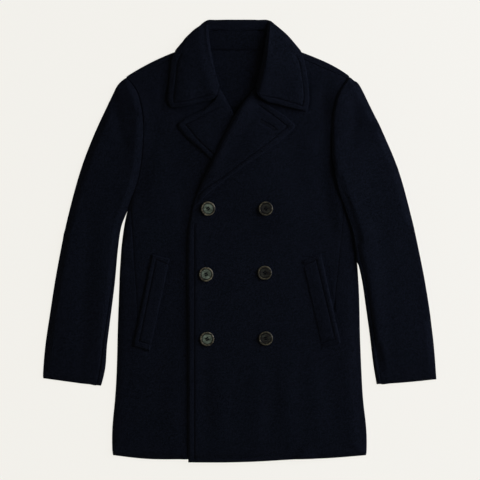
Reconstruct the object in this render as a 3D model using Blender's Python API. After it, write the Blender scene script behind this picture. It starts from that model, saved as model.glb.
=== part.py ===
# A double-breasted pea coat in navy melton wool, laid flat on its back.
# Millimetres in the tables, metres in the meshes. +Y runs to the collar, +X to the
# wearer's left, and +Z up from the surface that the coat lies on.

import bmesh
import bpy
import numpy as np
from mathutils import Vector
from mathutils.bvhtree import BVHTree

MM = 0.001

# Cloth, in millimetres
CLOTH = 2.5            # one ply of melton
TWO_PLY = 4.2          # collar, lapels and front edge: two plies pressed together
FACING = 2.0           # neck facing
SEAM_GAP = 0.2         # each edge stands back this far from its seam line
LAY_GAP = 0.6          # between layers that lie on each other
EDGE_KEEP = 0.35       # share of a wall's height that is left at its rounded edge
EDGE_NEAR = (0.0, 1.6, 4.0)      # first rings inside a rounded edge
EDGE_RADIUS = 4.2
SEAM_LOST, SEAM_RADIUS = 0.35, 2.0     # the shallower rounding beside a seam

# Heights of the layers above the surface, away from folds
FRONT_LAY = CLOTH + LAY_GAP
FRONT_TOP = FRONT_LAY + CLOTH

# The body's side edges, from the hem up: level, wearer's right edge, wearer's left edge
SIDE_EDGES = (
    (-429, -253, 252),
    (-419, -255, 254),
    (-339, -251, 248),
    (-259, -246, 243),
    (-179, -244, 240),
    (-99, -241, 238),
    (-51, -239, 235),
    (-3, -235, 231),
    (45, -228, 226),
    (77, -220, 220),
)
SIDE_PARTS = 10

# Armhole seams from armpit to shoulder: x, y
ARMHOLE = {
    "right": ((-220, 77), (-217, 84), (-208, 108), (-201, 135), (-196, 169), (-194, 201),
              (-193, 233), (-195, 260), (-200, 284), (-208, 305), (-217, 319), (-226, 325.5)),
    "left": ((220, 77), (206, 101), (195, 127), (187, 153), (184, 185), (183, 217),
             (185, 249), (190, 276), (196, 297), (207, 313), (217, 323.5)),
}
ARMHOLE_PARTS = 10
ARMHOLE_COVERED = {"right": 0, "left": 3}    # lowest parts that the sleeve lies over

# Shoulder seams from armhole to neck, and how far the back rolls over them: x, y; x, width
SHOULDER = {
    "right": ((-226, 325.5), (-155, 355.75), (-84, 386)),
    "left": ((217, 323.5), (147, 353.75), (77, 384)),
}
SHOULDER_ROLL = ((-226, 2.5), (-218, 4.5), (-190, 8.0), (-155, 10.0), (-110, 8.5), (-80, 1.2),
                 (72, 1.2), (100, 10.0), (150, 12.6), (190, 11.8), (205, 9.8), (217, 5.2))
ROLL_LEAST, ROLL_FULL = 1.2, 2.5      # widths at which the rolled strip is flat and full
ROLL_SHAPE = ((0.0, 1.0), (0.55, 0.93), (1.0, 0.5))     # across the strip: place, height
NECK_EDGE = ((-84, 386), (-79, 402.5), (-67, 413.5), (-48, 418.7), (-4, 419.4), (40, 418.7),
             (59, 413.5), (71, 402.5), (77, 384))

# Facing inside the back neck: its lower seam and its upper edge
NECK_FACING = {
    "lower": ((-64, 382), (-4, 380), (55, 382)),
    "upper": ((-61, 407), (-50, 417.4), (-4, 419.4), (42, 417.4), (53, 407)),
}
NECK_FACING_PARTS = {"across": 5, "up": 2}

# Hems, front edges with their roll lines, and necklines, each from the hem or left to right
HEM = {
    "right": ((-253, -429), (-190, -436), (-102, -437), (86, -436)),
    "left": ((-101, -443), (-22, -443), (40, -441), (112, -437), (174, -435), (252, -429)),
    "back": ((-253, -429), (-190, -434), (0, -434), (174, -433), (252, -429)),
}
FRONT_EDGE = {
    "right": ((86, -436), (86, -200), (86, 20), (82, 68), (70, 97), (40, 157), (10, 215),
              (-13, 256), (-29, 285), (-40, 305)),
    "left": ((-101, -443), (-101, -200), (-101, 21), (-98, 56), (-90, 81), (-72, 124),
             (-52, 166), (-34, 205), (-21, 231), (-9, 252), (8, 278), (20, 292), (31, 305)),
}
NECKLINE = {
    "right": ((-40, 305), (-54, 313), (-63, 331), (-71, 351), (-79, 371), (-84, 386)),
    "left": ((31, 305), (45, 313), (54, 331), (63, 351), (72, 369), (77, 384)),
}
NECKLINE_PARTS = 3
FRONT_ACROSS = 8
BACK_ACROSS = 13
BAND = {"width": 70.0, "fade": 45.0}    # facing that backs the left front's edge
LAY_FADE = {"near": 4.0, "front": 58.0, "lapel": 62.0}   # how soon the left front settles
BAND_EDGE = ((-101, -443), (-101, 21), (-98, 56))

# Lapels: the gorge seam, then the upper edge to the tip, then the lower edge to the roll line
LAPEL = {
    "right": {
        "gorge": ((-40, 305), (-44, 294), (-49.5, 281.5)),
        "upper": ((-49.5, 281.5), (-53, 275), (-89, 254.5), (-120, 237.5), (-124, 231)),
        "lower": ((-124, 231), (-122, 225), (-89, 192), (-54, 160), (10, 112), (80, 64)),
        "roll": ((84, 62), (70, 97), (40, 157), (10, 215), (-13, 256), (-29, 285), (-40, 305)),
    },
    "left": {
        "gorge": ((31, 305), (35, 296), (41.5, 285), (51, 277.5)),
        "upper": ((51, 277.5), (54, 273.5), (81, 255), (107, 234), (110, 229)),
        "lower": ((110, 229), (107, 224), (70, 191), (20, 157), (-24, 125), (-68, 90), (-93, 61)),
        "roll": ((-97, 58), (-90, 81), (-72, 124), (-52, 166), (-34, 205), (-21, 231), (-9, 252),
                 (8, 278), (20, 292), (31, 305)),
    },
}
LAPEL_ACROSS = (0, 0.015, 0.045, 0.09, 0.2, 0.4, 0.6, 0.8, 0.93, 0.975, 1)
LAPEL_PARTS = {"lower": 9, "upper": 3}
# How far each roll stands up off the front: level where it starts, level where it is full, height
LAPEL_PUFF = {"right": (258, 312, 7.0), "left": (40, 270, 6.5)}
PUFF_FADE = (14.0, 62.0)
ROLL_BODY = (3.4, 7.0)           # where the underside leaves the roll, and its run up

# Collar sections from the wearer's right point round the neck to the left one. The roll is
# the fold's crest, the foot is the neck seam, the edge is the outer edge of the fall. Tilt
# turns the fold from upright beside the neck to flat behind it, where the fall lies under.
COLLAR_COLUMNS = ("roll_x", "roll_y", "roll_top", "foot_x", "foot_y", "foot_z",
                  "edge_x", "edge_y", "tilt", "under", "bow")
COLLAR = (
    (-40, 305, 17.5, -43, 311, 5.0, -137, 266, 0, 0, 2),
    (-45, 324, 19.5, -52, 330, 7.2, -144, 281, 0, 0, 3),
    (-50, 343, 21.5, -61, 350, 9.3, -142, 306, 0, 0, 4),
    (-56, 371, 23.5, -70, 373, 10.4, -139, 337, 0, 0, 4),
    (-60, 397, 22.5, -75, 390, 11, -136, 361, 5, 0, 4),
    (-62, 417, 18.0, -73, 407, 11.4, -131, 373, 25, 0.05, 4),
    (-62.5, 432, 14.0, -65, 417.5, 9.0, -126, 380, 50, 0.45, 4),
    (-61, 439.5, 11.5, -56, 420.8, 7.8, -114, 381, 72, 0.9, 2),
    (-49, 441.4, 9.6, -44, 421.4, 7.5, -96, 379, 88, 1, 0),
    (-28, 442, 9.6, -24, 421.4, 7.5, -60, 378, 90, 1, 0),
    (-4, 442, 9.6, -4, 421.4, 7.5, -4, 378, 90, 1, 0),
    (20, 442, 9.6, 16, 421.4, 7.5, 52, 378, 90, 1, 0),
    (41, 441.4, 9.6, 36, 421.4, 7.5, 88, 379, 88, 1, 0),
    (53, 439.5, 11.5, 48, 420.8, 7.8, 106, 381, 72, 0.9, 2),
    (54.5, 432, 14.0, 57, 417.5, 9.0, 118, 380, 50, 0.45, 4),
    (54, 417, 18.0, 65, 407, 11.4, 124, 373, 25, 0.05, 4),
    (51, 397, 22.5, 67, 390, 11, 129, 358, 5, 0, 4),
    (47, 371, 23.5, 61, 373, 10.4, 133, 337, 0, 0, 4),
    (41, 343, 21.5, 52, 350, 9.3, 137, 306, 0, 0, 4),
    (36, 324, 19.5, 43, 330, 7.2, 138, 281, 0, 0, 3),
    (31, 305, 17.5, 34, 311, 5.0, 134, 258, 0, 0, 2),
)
# At each end: the gorge seam, then the lower edge from the notch to the point
COLLAR_END = {
    "right": (((-40, 305), (-44, 294), (-49.5, 282)),
              ((-49.5, 282), (-78, 277), (-105, 269), (-137, 266))),
    "left": (((31, 305), (35, 296), (41.5, 285), (51, 278)),
             ((51, 278), (70, 274), (104, 265), (134, 258))),
}
COLLAR_END_REACH = 6.0           # sections that the shape of an end bends
COLLAR_PROFILE = (0, 0.6, 1.1, 1.6, 2, 2.5, 3, 3.45, 4, 4.5, 4.85, 4.95, 5)
COLLAR_NEAR = (0.08, 0.2)         # sections just inside each end
ROLL_RADIUS = {"side": 4.6, "back": 2.75}
CORNER_FULLNESS = 0.7             # how far the fall swings out where it turns behind the neck
CORNER_RISE = (3.0, 4.6)          # how far its fold is pushed out and up there
NECK_MIDDLE = -4.0                # x of the neck's centre line

# Sleeves, each from cuff to shoulder or armpit: x, y
SLEEVE = {
    "right": {
        "cuff": ((-393, -275), (-336, -283), (-278, -290)),
        "outer": ((-393, -275), (-394, -259), (-389, -211), (-382, -163), (-375, -115),
                  (-367, -67), (-358, -19), (-348, 29), (-336, 77), (-318, 141), (-294, 205),
                  (-265, 269), (-249, 301), (-239, 317), (-227, 326)),
        "inner": ((-278, -290), (-273, -275), (-266, -211), (-258, -147), (-250, -83),
                  (-244, -19), (-240, 13), (-232, 44), (-227, 54), (-220, 77)),
    },
    "left": {
        "cuff": ((393, -277), (334, -283), (274, -287)),
        "outer": ((393, -277), (392, -259), (388, -211), (382, -163), (375, -115), (367, -67),
                  (357, -19), (347, 29), (335, 77), (317, 141), (291, 205), (260, 269),
                  (244, 301), (234, 317), (218, 323)),
        "inner": ((274, -287), (269, -259), (261, -195), (252, -131), (242, -67), (239, -52), (235, -43),
                  (230, -13), (226, 15), (218, 41), (210, 65), (200, 92), (192, 121), (187, 149)),
    },
}
SLEEVE_PARTS = 14
HEAD_CROWDING = 1.4              # rows of a sleeve lie closer towards its head
FOREARM_TURN = {"cuff": (0, 1.6, 4.0, 9.5, 10.0), "armhole": (0, 1.6, 3.6, 5.5, 6.0),
                "rounding": 0.6}
HEAD_FULLNESS = {"height": 2.2, "rise": 7.0, "fade": 34.0}

# Pocket welts: top outer, top inner, bottom inner, bottom outer corner
WELT = {
    "right": ((-175, -27), (-140, -37), (-180, -220), (-213, -210)),
    "left": ((162, -26), (124, -39), (164, -214), (201, -204)),
}
WELT_THICK = 3.4
WELT_PARTS = {"across": 2, "along": 7}

# Buttons: x, y of each, then one button's size and turned outline: radius, height
BUTTONS = ((-63, 64), (52, 64), (-67, -67), (50, -64), (-65, -196), (52, -195))
BUTTON_PROFILE = ((0, 0), (13.2, 0), (14.8, 1.8), (14.3, 4.0), (13.0, 4.6), (11.3, 3.4),
                  (5.6, 2.8), (0, 2.8))
BUTTON_SIDES = 18
BUTTON_REACH = (0.0, 7.0, 14.8)  # where the cloth under a button is felt, from its centre
BUTTON_CLEAR = 0.5
BUTTON_HOLE = {"radius": 1.3, "spread": 2.7, "sides": 8}

# Where the collar's fall lies under the back and lifts it
NECK_RISE = {"height": TWO_PLY + LAY_GAP, "level": (270.0, 368.0), "half": (100.0, 172.0)}

# Soft ridges of the laid cloth: start x, y, end x, y, half width, height
BODY_FOLDS = (
    (-180, -60, -205, -360, 34, 1.1),
    (-128, -250, -140, -430, 30, 1.3),
    (146, -268, 166, -430, 32, 1.4),
    (205, -60, 222, -330, 24, 1.0),
    (120, 80, 165, 150, 36, 1.2),
    (-150, 60, -170, 160, 34, 1.0),
)
SLEEVE_FOLDS = (
    (-300, 150, -345, -60, 26, 1.4),
    (-262, 262, -226, 190, 18, 1.6),
    (-322, -120, -345, -230, 24, 0.9),
    (302, 150, 338, -60, 26, 1.4),
    (262, 262, 224, 200, 18, 1.5),
    (318, -120, 342, -235, 24, 0.9),
)
SIDE_PUFF = {"height": 1.3, "peak": 9.0, "reach": 46.0, "level": (20.0, 80.0)}
SLEEVE_LIFT = {"top": (220.0, 145.0), "bottom": (-45.0, -185.0), "across": (4.0, 66.0)}

MELTON = ((0.0035, 0.0045, 0.0085), 0.92)
FACING_CLOTH = ((0.0032, 0.0038, 0.0065), 0.92)
HORN = ((0.020, 0.019, 0.016), 0.30)


# ---------------------------------------------------------------- curves and patches

def smooth(t):
    t = np.clip(t, 0.0, 1.0)
    return t * t * (3.0 - 2.0 * t)


def curve_through(points, steps=12):
    """Dense points of a smooth curve through the given ones, that never loops or swings wide."""
    points = np.array(points, dtype=float)
    run = np.linalg.norm(np.diff(points, axis=0), axis=1)[:, None]
    slope = np.diff(points, axis=0) / run
    inner = (slope[:-1] * run[1:] + slope[1:] * run[:-1]) / (run[1:] + run[:-1])
    slopes = np.vstack([slope[:1], inner, slope[-1:]])
    dense = [points[:1]]
    t = (np.arange(1, steps + 1) / steps)[:, None]
    for a, b, out_of, into, length in zip(points, points[1:], slopes, slopes[1:], run):
        dense.append((2 * t ** 3 - 3 * t ** 2 + 1) * a + (3 * t ** 2 - 2 * t ** 3) * b
                     + (t ** 3 - 2 * t ** 2 + t) * length * out_of + (t ** 3 - t ** 2) * length * into)
    return np.vstack(dense)


def rows_at(table, places):
    """Rows read between those of a table, on smooth curves through its columns."""
    table = np.array(table, dtype=float)
    padded = np.vstack([2 * table[0] - table[1], table, 2 * table[-1] - table[-2]])
    index = np.minimum(places.astype(int), len(table) - 2)
    t = (places - index)[:, None]
    a, b, c, d = (padded[index + k] for k in range(4))
    return 0.5 * (2 * b + (c - a) * t + (2 * a - 5 * b + 4 * c - d) * t ** 2
                  + (3 * b - a - 3 * c + d) * t ** 3)


def lengths_along(line):
    return np.concatenate([[0.0], np.cumsum(np.linalg.norm(np.diff(line, axis=0), axis=1))])


def points_at(line, places):
    along = lengths_along(line)
    return np.column_stack([np.interp(places, along, column) for column in np.transpose(line)])


def points_at_shares(line, shares):
    return points_at(line, np.array(shares) * lengths_along(line)[-1])


def spread_over(line, parts, start=(0.0,), end=(0.0,), crowding=1.0):
    """A line cut into parts between a few fixed distances from each end, even or crowded."""
    whole = lengths_along(line)[-1]
    shares = 1.0 - (1.0 - np.linspace(0.0, 1.0, parts + 1)) ** crowding
    inner = start[-1] + (whole - end[-1] - start[-1]) * shares
    return points_at(line, np.concatenate([start[:-1], inner, whole - np.array(end[:-1])[::-1]]))


def shifted(line, distance):
    """The line moved sideways, to its left for a positive distance."""
    run = np.gradient(line, axis=0)
    run /= np.linalg.norm(run, axis=1)[:, None]
    return line + distance * np.column_stack([-run[:, 1], run[:, 0]])


def patch(south, north, west, east):
    """Plan points between four sides; south and north run to +u, west and east to +v."""
    share_s, share_n, share_w, share_e = (
        lengths_along(side) / lengths_along(side)[-1] for side in (south, north, west, east))
    v = ((share_w + share_e) / 2)[:, None]
    u = (1 - v) * share_s[None, :] + v * share_n[None, :]
    v = (1 - u) * share_w[:, None] + u * share_e[:, None]
    u, v = u[..., None], v[..., None]
    ruled = (1 - v) * south[None] + v * north[None] + (1 - u) * west[:, None] + u * east[:, None]
    corners = ((1 - u) * (1 - v) * south[0] + u * (1 - v) * south[-1]
               + (1 - u) * v * north[0] + u * v * north[-1])
    return ruled - corners


def distance_to(line, x, y):
    best = np.full(np.shape(x), 1e9)
    for (ax, ay), (bx, by) in zip(line, line[1:]):
        run = max((bx - ax) ** 2 + (by - ay) ** 2, 1e-9)
        t = np.clip(((x - ax) * (bx - ax) + (y - ay) * (by - ay)) / run, 0.0, 1.0)
        best = np.minimum(best, np.hypot(x - ax - t * (bx - ax), y - ay - t * (by - ay)))
    return best


def outside_by(outline, x, y):
    """How far each plan point lies outside a closed outline, 0 inside it."""
    inside = np.zeros(np.shape(x), dtype=bool)
    for (ax, ay), (bx, by) in zip(outline, np.roll(outline, -1, axis=0)):
        if ay != by:
            inside ^= ((ay > y) != (by > y)) & (x < ax + (y - ay) * (bx - ax) / (by - ay))
    return np.where(inside, 0.0, distance_to(np.vstack([outline, outline[:1]]), x, y))


def rounding(distance, radius):
    """Share of the height that a rounded edge takes away: 1 at the edge, 0 past the radius."""
    t = np.clip(1.0 - distance / radius, 0.0, 1.0)
    return 1.0 - np.sqrt(1.0 - t * t)


def ridges(table, x, y):
    """Height of the soft ridges of a table at each point."""
    height = np.zeros(np.shape(x))
    for ax, ay, bx, by, half_width, rise in table:
        away = distance_to(((ax, ay), (bx, by)), x, y)
        height += rise * np.exp(-(away / half_width) ** 2)
    return height


# ---------------------------------------------------------------- heights of the layers

def neck_rise(x, y):
    """The back lifts where the collar's fall lies under it."""
    low, high = NECK_RISE["level"]
    near, far = NECK_RISE["half"]
    return (NECK_RISE["height"] * smooth((y - low) / (high - low))
            * (1.0 - smooth((np.abs(x - NECK_MIDDLE) - near) / (far - near))))


def side_puff(x, y):
    """The fronts stand up a little just inside the rolled side edges."""
    level, right, left = np.array(SIDE_EDGES, dtype=float).T
    inset = np.minimum(x - np.interp(y, level, right), np.interp(y, level, left) - x)
    rise = np.clip(inset / SIDE_PUFF["peak"], 0.0, 1.0)
    fade = 1.0 - smooth((inset - SIDE_PUFF["peak"]) / SIDE_PUFF["reach"])
    low, high = SIDE_PUFF["level"]
    return SIDE_PUFF["height"] * rise * fade * (1.0 - smooth((y - low) / (high - low)))


def front_lay(x, y):
    """Underside of a front that lies on the back."""
    return neck_rise(x, y) + FRONT_LAY + side_puff(x, y) + ridges(BODY_FOLDS, x, y)


def over_front_lay(x, y):
    """Underside of the left front, which also lies on the right front and its lapel."""
    edge = curve_through(FRONT_EDGE["right"])
    covered = np.vstack([edge, [(-260, 305), (-260, -436)]])
    sides = LAPEL["right"]
    around = ("gorge", "upper", "lower", "roll")
    lapel_outline = np.vstack([curve_through(sides[name]) for name in around])
    off_front = outside_by(covered, x, y)
    off_lapel = outside_by(lapel_outline, x, y)
    on_front = 1.0 - smooth((off_front - LAY_FADE["near"]) / LAY_FADE["front"])
    on_lapel = 1.0 - smooth((off_lapel - LAY_FADE["near"]) / LAY_FADE["lapel"])
    return (front_lay(x, y) + (CLOTH + LAY_GAP) * on_front
            + (TWO_PLY + 2 * LAY_GAP) * on_lapel)


def over_front_thick(x, y):
    """The left front is two plies thick along its edge, where its facing backs it."""
    off_edge = distance_to(BAND_EDGE, x, y)
    return CLOTH + (TWO_PLY - CLOTH) * (1.0 - smooth((off_edge - BAND["width"]) / BAND["fade"]))


def sleeve_lift(x, y):
    """The left sleeve's inner side lies on the body's side below the armhole."""
    level, _, left = np.array(SIDE_EDGES, dtype=float).T
    outward = np.where(x > 0, x - np.interp(y, level, left), 1e9)
    (high, full), (low, end) = SLEEVE_LIFT["top"], SLEEVE_LIFT["bottom"]
    near, far = SLEEVE_LIFT["across"]
    along = smooth((high - y) / (high - full)) * (1.0 - smooth((low - y) / (low - end)))
    return ((FRONT_TOP + SIDE_PUFF["height"] + 2 * LAY_GAP) * along
            * (1.0 - smooth((outward - near) / (far - near))))


# ---------------------------------------------------------------- solids

def material(name, colour, roughness):
    made = bpy.data.materials.new(name)
    made.use_nodes = True
    shader = made.node_tree.nodes["Principled BSDF"]
    shader.inputs["Base Color"].default_value = (*colour, 1.0)
    shader.inputs["Roughness"].default_value = roughness
    shader.inputs["Metallic"].default_value = 0.0
    return made


def new_object(name, builder, finish):
    """An object from a closed bmesh, its faces turned outwards."""
    bmesh.ops.recalc_face_normals(builder, faces=builder.faces[:])
    mesh = bpy.data.meshes.new(name)
    builder.to_mesh(mesh)
    builder.free()
    mesh.shade_smooth()
    mesh.materials.append(material(name, *finish))
    made = bpy.data.objects.new(name, mesh)
    bpy.context.scene.collection.objects.link(made)
    return made


def wall(name, over, under, finish=MELTON):
    """A closed wall between two grids of points, given in millimetres."""
    rows, columns = over.shape[:2]
    builder = bmesh.new()
    sheets = [[[builder.verts.new(point * MM) for point in row] for row in grid]
              for grid in (over, under)]
    for sheet in sheets:
        for j in range(rows - 1):
            for i in range(columns - 1):
                builder.faces.new((sheet[j][i], sheet[j][i + 1], sheet[j + 1][i + 1], sheet[j + 1][i]))
    rim = ([(0, i) for i in range(columns)] + [(j, columns - 1) for j in range(1, rows)]
           + [(rows - 1, i) for i in range(columns - 2, -1, -1)]
           + [(j, 0) for j in range(rows - 2, 0, -1)])
    for (j, i), (m, k) in zip(rim, rim[1:] + rim[:1]):
        builder.faces.new((sheets[0][j][i], sheets[0][m][k], sheets[1][m][k], sheets[1][j][i]))
    return new_object(name, builder, finish)


def laid_wall(name, plan, under, over, finish=MELTON):
    """A wall over plan points, from the heights of its underside and its upper side."""
    return wall(name, np.dstack([plan, over]), np.dstack([plan, under]), finish)


def height_lost(plan, soft_sides, seam_sides=()):
    """Share of a wall's height lost at each point: much at free edges, little at seams."""
    x, y = plan[..., 0], plan[..., 1]
    lost = np.zeros(x.shape)
    for side in soft_sides:
        lost = np.maximum(lost, rounding(distance_to(side, x, y), EDGE_RADIUS))
    for side in seam_sides:
        lost = np.maximum(lost, SEAM_LOST * rounding(distance_to(side, x, y), SEAM_RADIUS))
    return lost * (1.0 - EDGE_KEEP)


def height_on(carrier, x, y):
    """Height of a finished piece's upper side at a plan point."""
    tree = BVHTree.FromPolygons([v.co for v in carrier.data.vertices],
                                [p.vertices for p in carrier.data.polygons])
    hit = tree.ray_cast(Vector((x * MM, y * MM, 1.0)), Vector((0, 0, -1)))[0]
    return hit.z / MM


# ---------------------------------------------------------------- body

def armhole_points(side):
    return spread_over(curve_through(ARMHOLE[side]), ARMHOLE_PARTS)


def body_side(side):
    """A body side from hem to shoulder: the side edge, then the armhole seam."""
    column, turn = (1, -1) if side == "right" else (2, 1)
    edge = curve_through([(row[column], row[0]) for row in SIDE_EDGES])
    below = spread_over(edge, SIDE_PARTS, start=EDGE_NEAR)
    return np.vstack([below[:-1], shifted(armhole_points(side), turn * SEAM_GAP)])


def front(side, lay, thick):
    """One front: hem, side and armhole, shoulder seam, neckline, roll line and front edge."""
    outer = body_side(side)
    edge = curve_through(FRONT_EDGE[side])
    edge = spread_over(edge, len(outer) - NECKLINE_PARTS - 3, start=EDGE_NEAR)
    centre = np.vstack([edge[:-1], spread_over(curve_through(NECKLINE[side]), NECKLINE_PARTS)])
    hem = spread_over(curve_through(HEM[side]), FRONT_ACROSS, start=EDGE_NEAR, end=EDGE_NEAR)
    shoulder = curve_through(SHOULDER[side])
    if side == "left":
        shoulder = shoulder[::-1]
    shoulder = shifted(spread_over(shoulder, FRONT_ACROSS, start=EDGE_NEAR, end=EDGE_NEAR),
                       -3 * SEAM_GAP)
    west, east = (outer, centre) if side == "right" else (centre, outer)
    plan = patch(hem, shoulder, west, east)
    x, y = plan[..., 0], plan[..., 1]
    armpit = SIDE_PARTS + len(EDGE_NEAR)
    lost = height_lost(plan, (hem, centre, outer[:armpit]), (shoulder, outer[armpit - 1:]))
    under = lay(x, y)
    return laid_wall("front_" + side, plan, under, under + thick(x, y) * (1.0 - lost))


def back():
    """The back, flat below, with a strip along each shoulder that rolls over to the front."""
    right, left = body_side("right"), body_side("left")
    top = np.vstack([curve_through(SHOULDER["right"]), curve_through(NECK_EDGE)[1:-1],
                     curve_through(SHOULDER["left"])[::-1]])
    north = spread_over(top, BACK_ACROSS, start=EDGE_NEAR, end=EDGE_NEAR)
    south = spread_over(curve_through(HEM["back"]), BACK_ACROSS, start=EDGE_NEAR, end=EDGE_NEAR)
    plan = patch(south, shifted(north, SEAM_GAP), right, left)
    x, y = plan[..., 0], plan[..., 1]
    armpit = SIDE_PARTS + len(EDGE_NEAR)
    lost = height_lost(plan, (right[:armpit], south, left[:armpit]))
    plans, unders, overs = [plan], [neck_rise(x, y) + CLOTH * lost], [neck_rise(x, y) + CLOTH]
    width = np.interp(north[:, 0], *np.transpose(SHOULDER_ROLL))
    rolled = smooth((width - ROLL_LEAST) / (ROLL_FULL - ROLL_LEAST))
    across = shifted(north, 1.0) - north
    for share, kept in ROLL_SHAPE:
        reach = 3 * SEAM_GAP + share * (width - 3 * SEAM_GAP)
        line = north + across * reach[:, None]
        height = CLOTH + rolled * (FRONT_TOP - CLOTH)
        centre = neck_rise(*line.T) + height / 2
        plans.append(line[None])
        unders.append((centre - kept * height / 2)[None])
        overs.append((centre + kept * height / 2)[None])
    return laid_wall("back", np.vstack(plans), np.vstack(unders), np.vstack(overs))


def neck_facing():
    """The facing inside the back neck, on the back."""
    parts = NECK_FACING_PARTS
    south, north = (spread_over(curve_through(NECK_FACING[name]), parts["across"], EDGE_NEAR, EDGE_NEAR)
                    for name in ("lower", "upper"))
    west, east = (spread_over(np.array([south[end], north[end]]), parts["up"], EDGE_NEAR, EDGE_NEAR)
                  for end in (0, -1))
    plan = patch(south, north, west, east)
    under = neck_rise(plan[..., 0], plan[..., 1]) + CLOTH + LAY_GAP / 2
    over = under + FACING * (1.0 - height_lost(plan, (south,), (north,)))
    return laid_wall("back_neck_facing", plan, under, over, FACING_CLOTH)


def lapel(side, lay):
    """A turned-back lapel: two plies that roll up at the roll line and lie on the front."""
    sides = {name: curve_through(points) for name, points in LAPEL[side].items()}
    lower = spread_over(sides["lower"][::-1], LAPEL_PARTS["lower"], start=EDGE_NEAR, end=EDGE_NEAR)
    upper = spread_over(sides["upper"][::-1], LAPEL_PARTS["upper"], start=EDGE_NEAR, end=EDGE_NEAR)
    outer = np.vstack([lower[:-1], upper])
    shares = lengths_along(outer) / lengths_along(outer)[-1]
    roll = points_at_shares(sides["roll"], shares)
    turn = 1 if side == "right" else -1
    gorge = shifted(points_at_shares(sides["gorge"], LAPEL_ACROSS), turn * SEAM_GAP)
    end = points_at_shares(np.array([roll[0], outer[0]]), LAPEL_ACROSS)
    plan = patch(end, gorge, roll, outer)
    x, y = plan[..., 0], plan[..., 1]
    off_roll = distance_to(roll, x, y)
    start, full, height = LAPEL_PUFF[side]
    puff = height * smooth((y - start) / (full - start))
    puff = puff * (1.0 - smooth((off_roll - PUFF_FADE[0]) / PUFF_FADE[1]))
    base = lay(x, y)
    under = base + puff * smooth((off_roll - ROLL_BODY[0]) / ROLL_BODY[1])
    kept = 1.0 - (1.0 - EDGE_KEEP) * rounding(off_roll, TWO_PLY + puff)
    over = base + (TWO_PLY + puff) * kept
    return laid_wall("lapel_" + side, plan, under, np.maximum(
        over - TWO_PLY * height_lost(plan, (outer,), (gorge,)), under + EDGE_KEEP * TWO_PLY))


# ---------------------------------------------------------------- collar

def collar_sections():
    """Places of the sections along the table's rows, closer at both ends."""
    last = len(COLLAR) - 1
    near = np.array(COLLAR_NEAR)
    return np.concatenate([[0.0], near, np.arange(0.5, last, 0.5), last - near[::-1], [last]])


def collar_middle():
    """The middle of the collar's wall: a row of points from foot over the roll to the edge."""
    places = collar_sections()
    read = dict(zip(COLLAR_COLUMNS, rows_at(COLLAR, places).T))
    side = np.where(read["roll_x"] < NECK_MIDDLE, -1.0, 1.0)
    tilt = np.radians(np.clip(read["tilt"], 0, 90))
    under = np.clip(read["under"], 0, 1)
    nothing = np.zeros(len(places))
    fold = np.column_stack([nothing, np.sin(tilt), np.cos(tilt)])
    outward = np.column_stack([side, nothing, nothing])
    down = np.column_stack([nothing, np.cos(tilt), -np.sin(tilt)])
    to_fall = np.cos(tilt)[:, None] * outward + np.sin(tilt)[:, None] * down
    radius = ROLL_RADIUS["side"] + (ROLL_RADIUS["back"] - ROLL_RADIUS["side"]) * np.sin(tilt)
    inset = (radius + TWO_PLY / 2) * np.cos(tilt)
    half = TWO_PLY / 2
    crest = np.column_stack([read["roll_x"] + side * inset,
                             read["roll_y"] - half * np.sin(tilt),
                             read["roll_top"] - half - (read["roll_top"] / 2 - half) * np.sin(tilt)])
    foot = np.column_stack([read["foot_x"], read["foot_y"], read["foot_z"]])
    edge_x, edge_y = read["edge_x"], read["edge_y"]
    on_top = front_lay(edge_x, edge_y) + CLOTH + LAY_GAP + half
    edge = np.column_stack([edge_x, edge_y, on_top + under * (half - on_top)])
    stand_side = crest - (fold + to_fall) * radius[:, None]
    fall_side = crest - (fold - to_fall) * radius[:, None]
    corner = outward * CORNER_RISE[0] + np.array([0.0, CORNER_RISE[1], 0.0])
    fall_side = fall_side + np.sin(2 * tilt)[:, None] * corner
    bow = fold + CORNER_FULLNESS * np.sin(2 * tilt)[:, None] * outward
    middle = (fall_side + edge) / 2 + read["bow"][:, None] * bow
    knots = np.stack([foot, stand_side, crest, fall_side, middle, edge])
    profile = np.array(COLLAR_PROFILE, dtype=float)
    return np.stack([rows_at(knots[:, k], profile) for k in range(len(places))])


def bend_collar_ends(grid):
    """Give both ends their gorge seam, notch and lower edge."""
    places = collar_sections()
    profile = np.array(COLLAR_PROFILE)
    on_fall = profile >= 2
    last = len(COLLAR) - 1
    for side, at, away in (("right", 0, places), ("left", -1, last - places)):
        gorge, lower = (curve_through(line) for line in COLLAR_END[side])
        line = np.vstack([shifted(gorge, -SEAM_GAP if side == "right" else SEAM_GAP), lower[1:]])
        wanted = points_at_shares(line, (profile[on_fall] - 2) / 3)
        change = wanted - grid[at, on_fall, :2]
        weight = 1.0 - smooth(away / COLLAR_END_REACH)
        grid[:, on_fall, :2] += weight[:, None, None] * change[None]
    return grid


def collar():
    """One band of two plies, from the neck seam over the roll and down to its outer edge."""
    grid = bend_collar_ends(collar_middle())
    along, across = np.gradient(grid, axis=0), np.gradient(grid, axis=1)
    normal = np.cross(along, across)
    normal /= np.linalg.norm(normal, axis=2)[..., None]
    kept = np.ones(grid.shape[:2])
    for distance in (np.linalg.norm(grid - grid[:, -1:], axis=2),
                     np.linalg.norm(grid - grid[:1], axis=2), np.linalg.norm(grid - grid[-1:], axis=2)):
        kept = np.minimum(kept, 1.0 - (1.0 - EDGE_KEEP) * rounding(distance, EDGE_RADIUS))
    offset = normal * (TWO_PLY / 2 * kept)[..., None]
    faces = [grid + offset, grid - offset]
    for face in faces:
        face[..., 2] = np.maximum(face[..., 2], 0.0)
    return wall("collar", *faces)


# ---------------------------------------------------------------- sleeves

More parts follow.
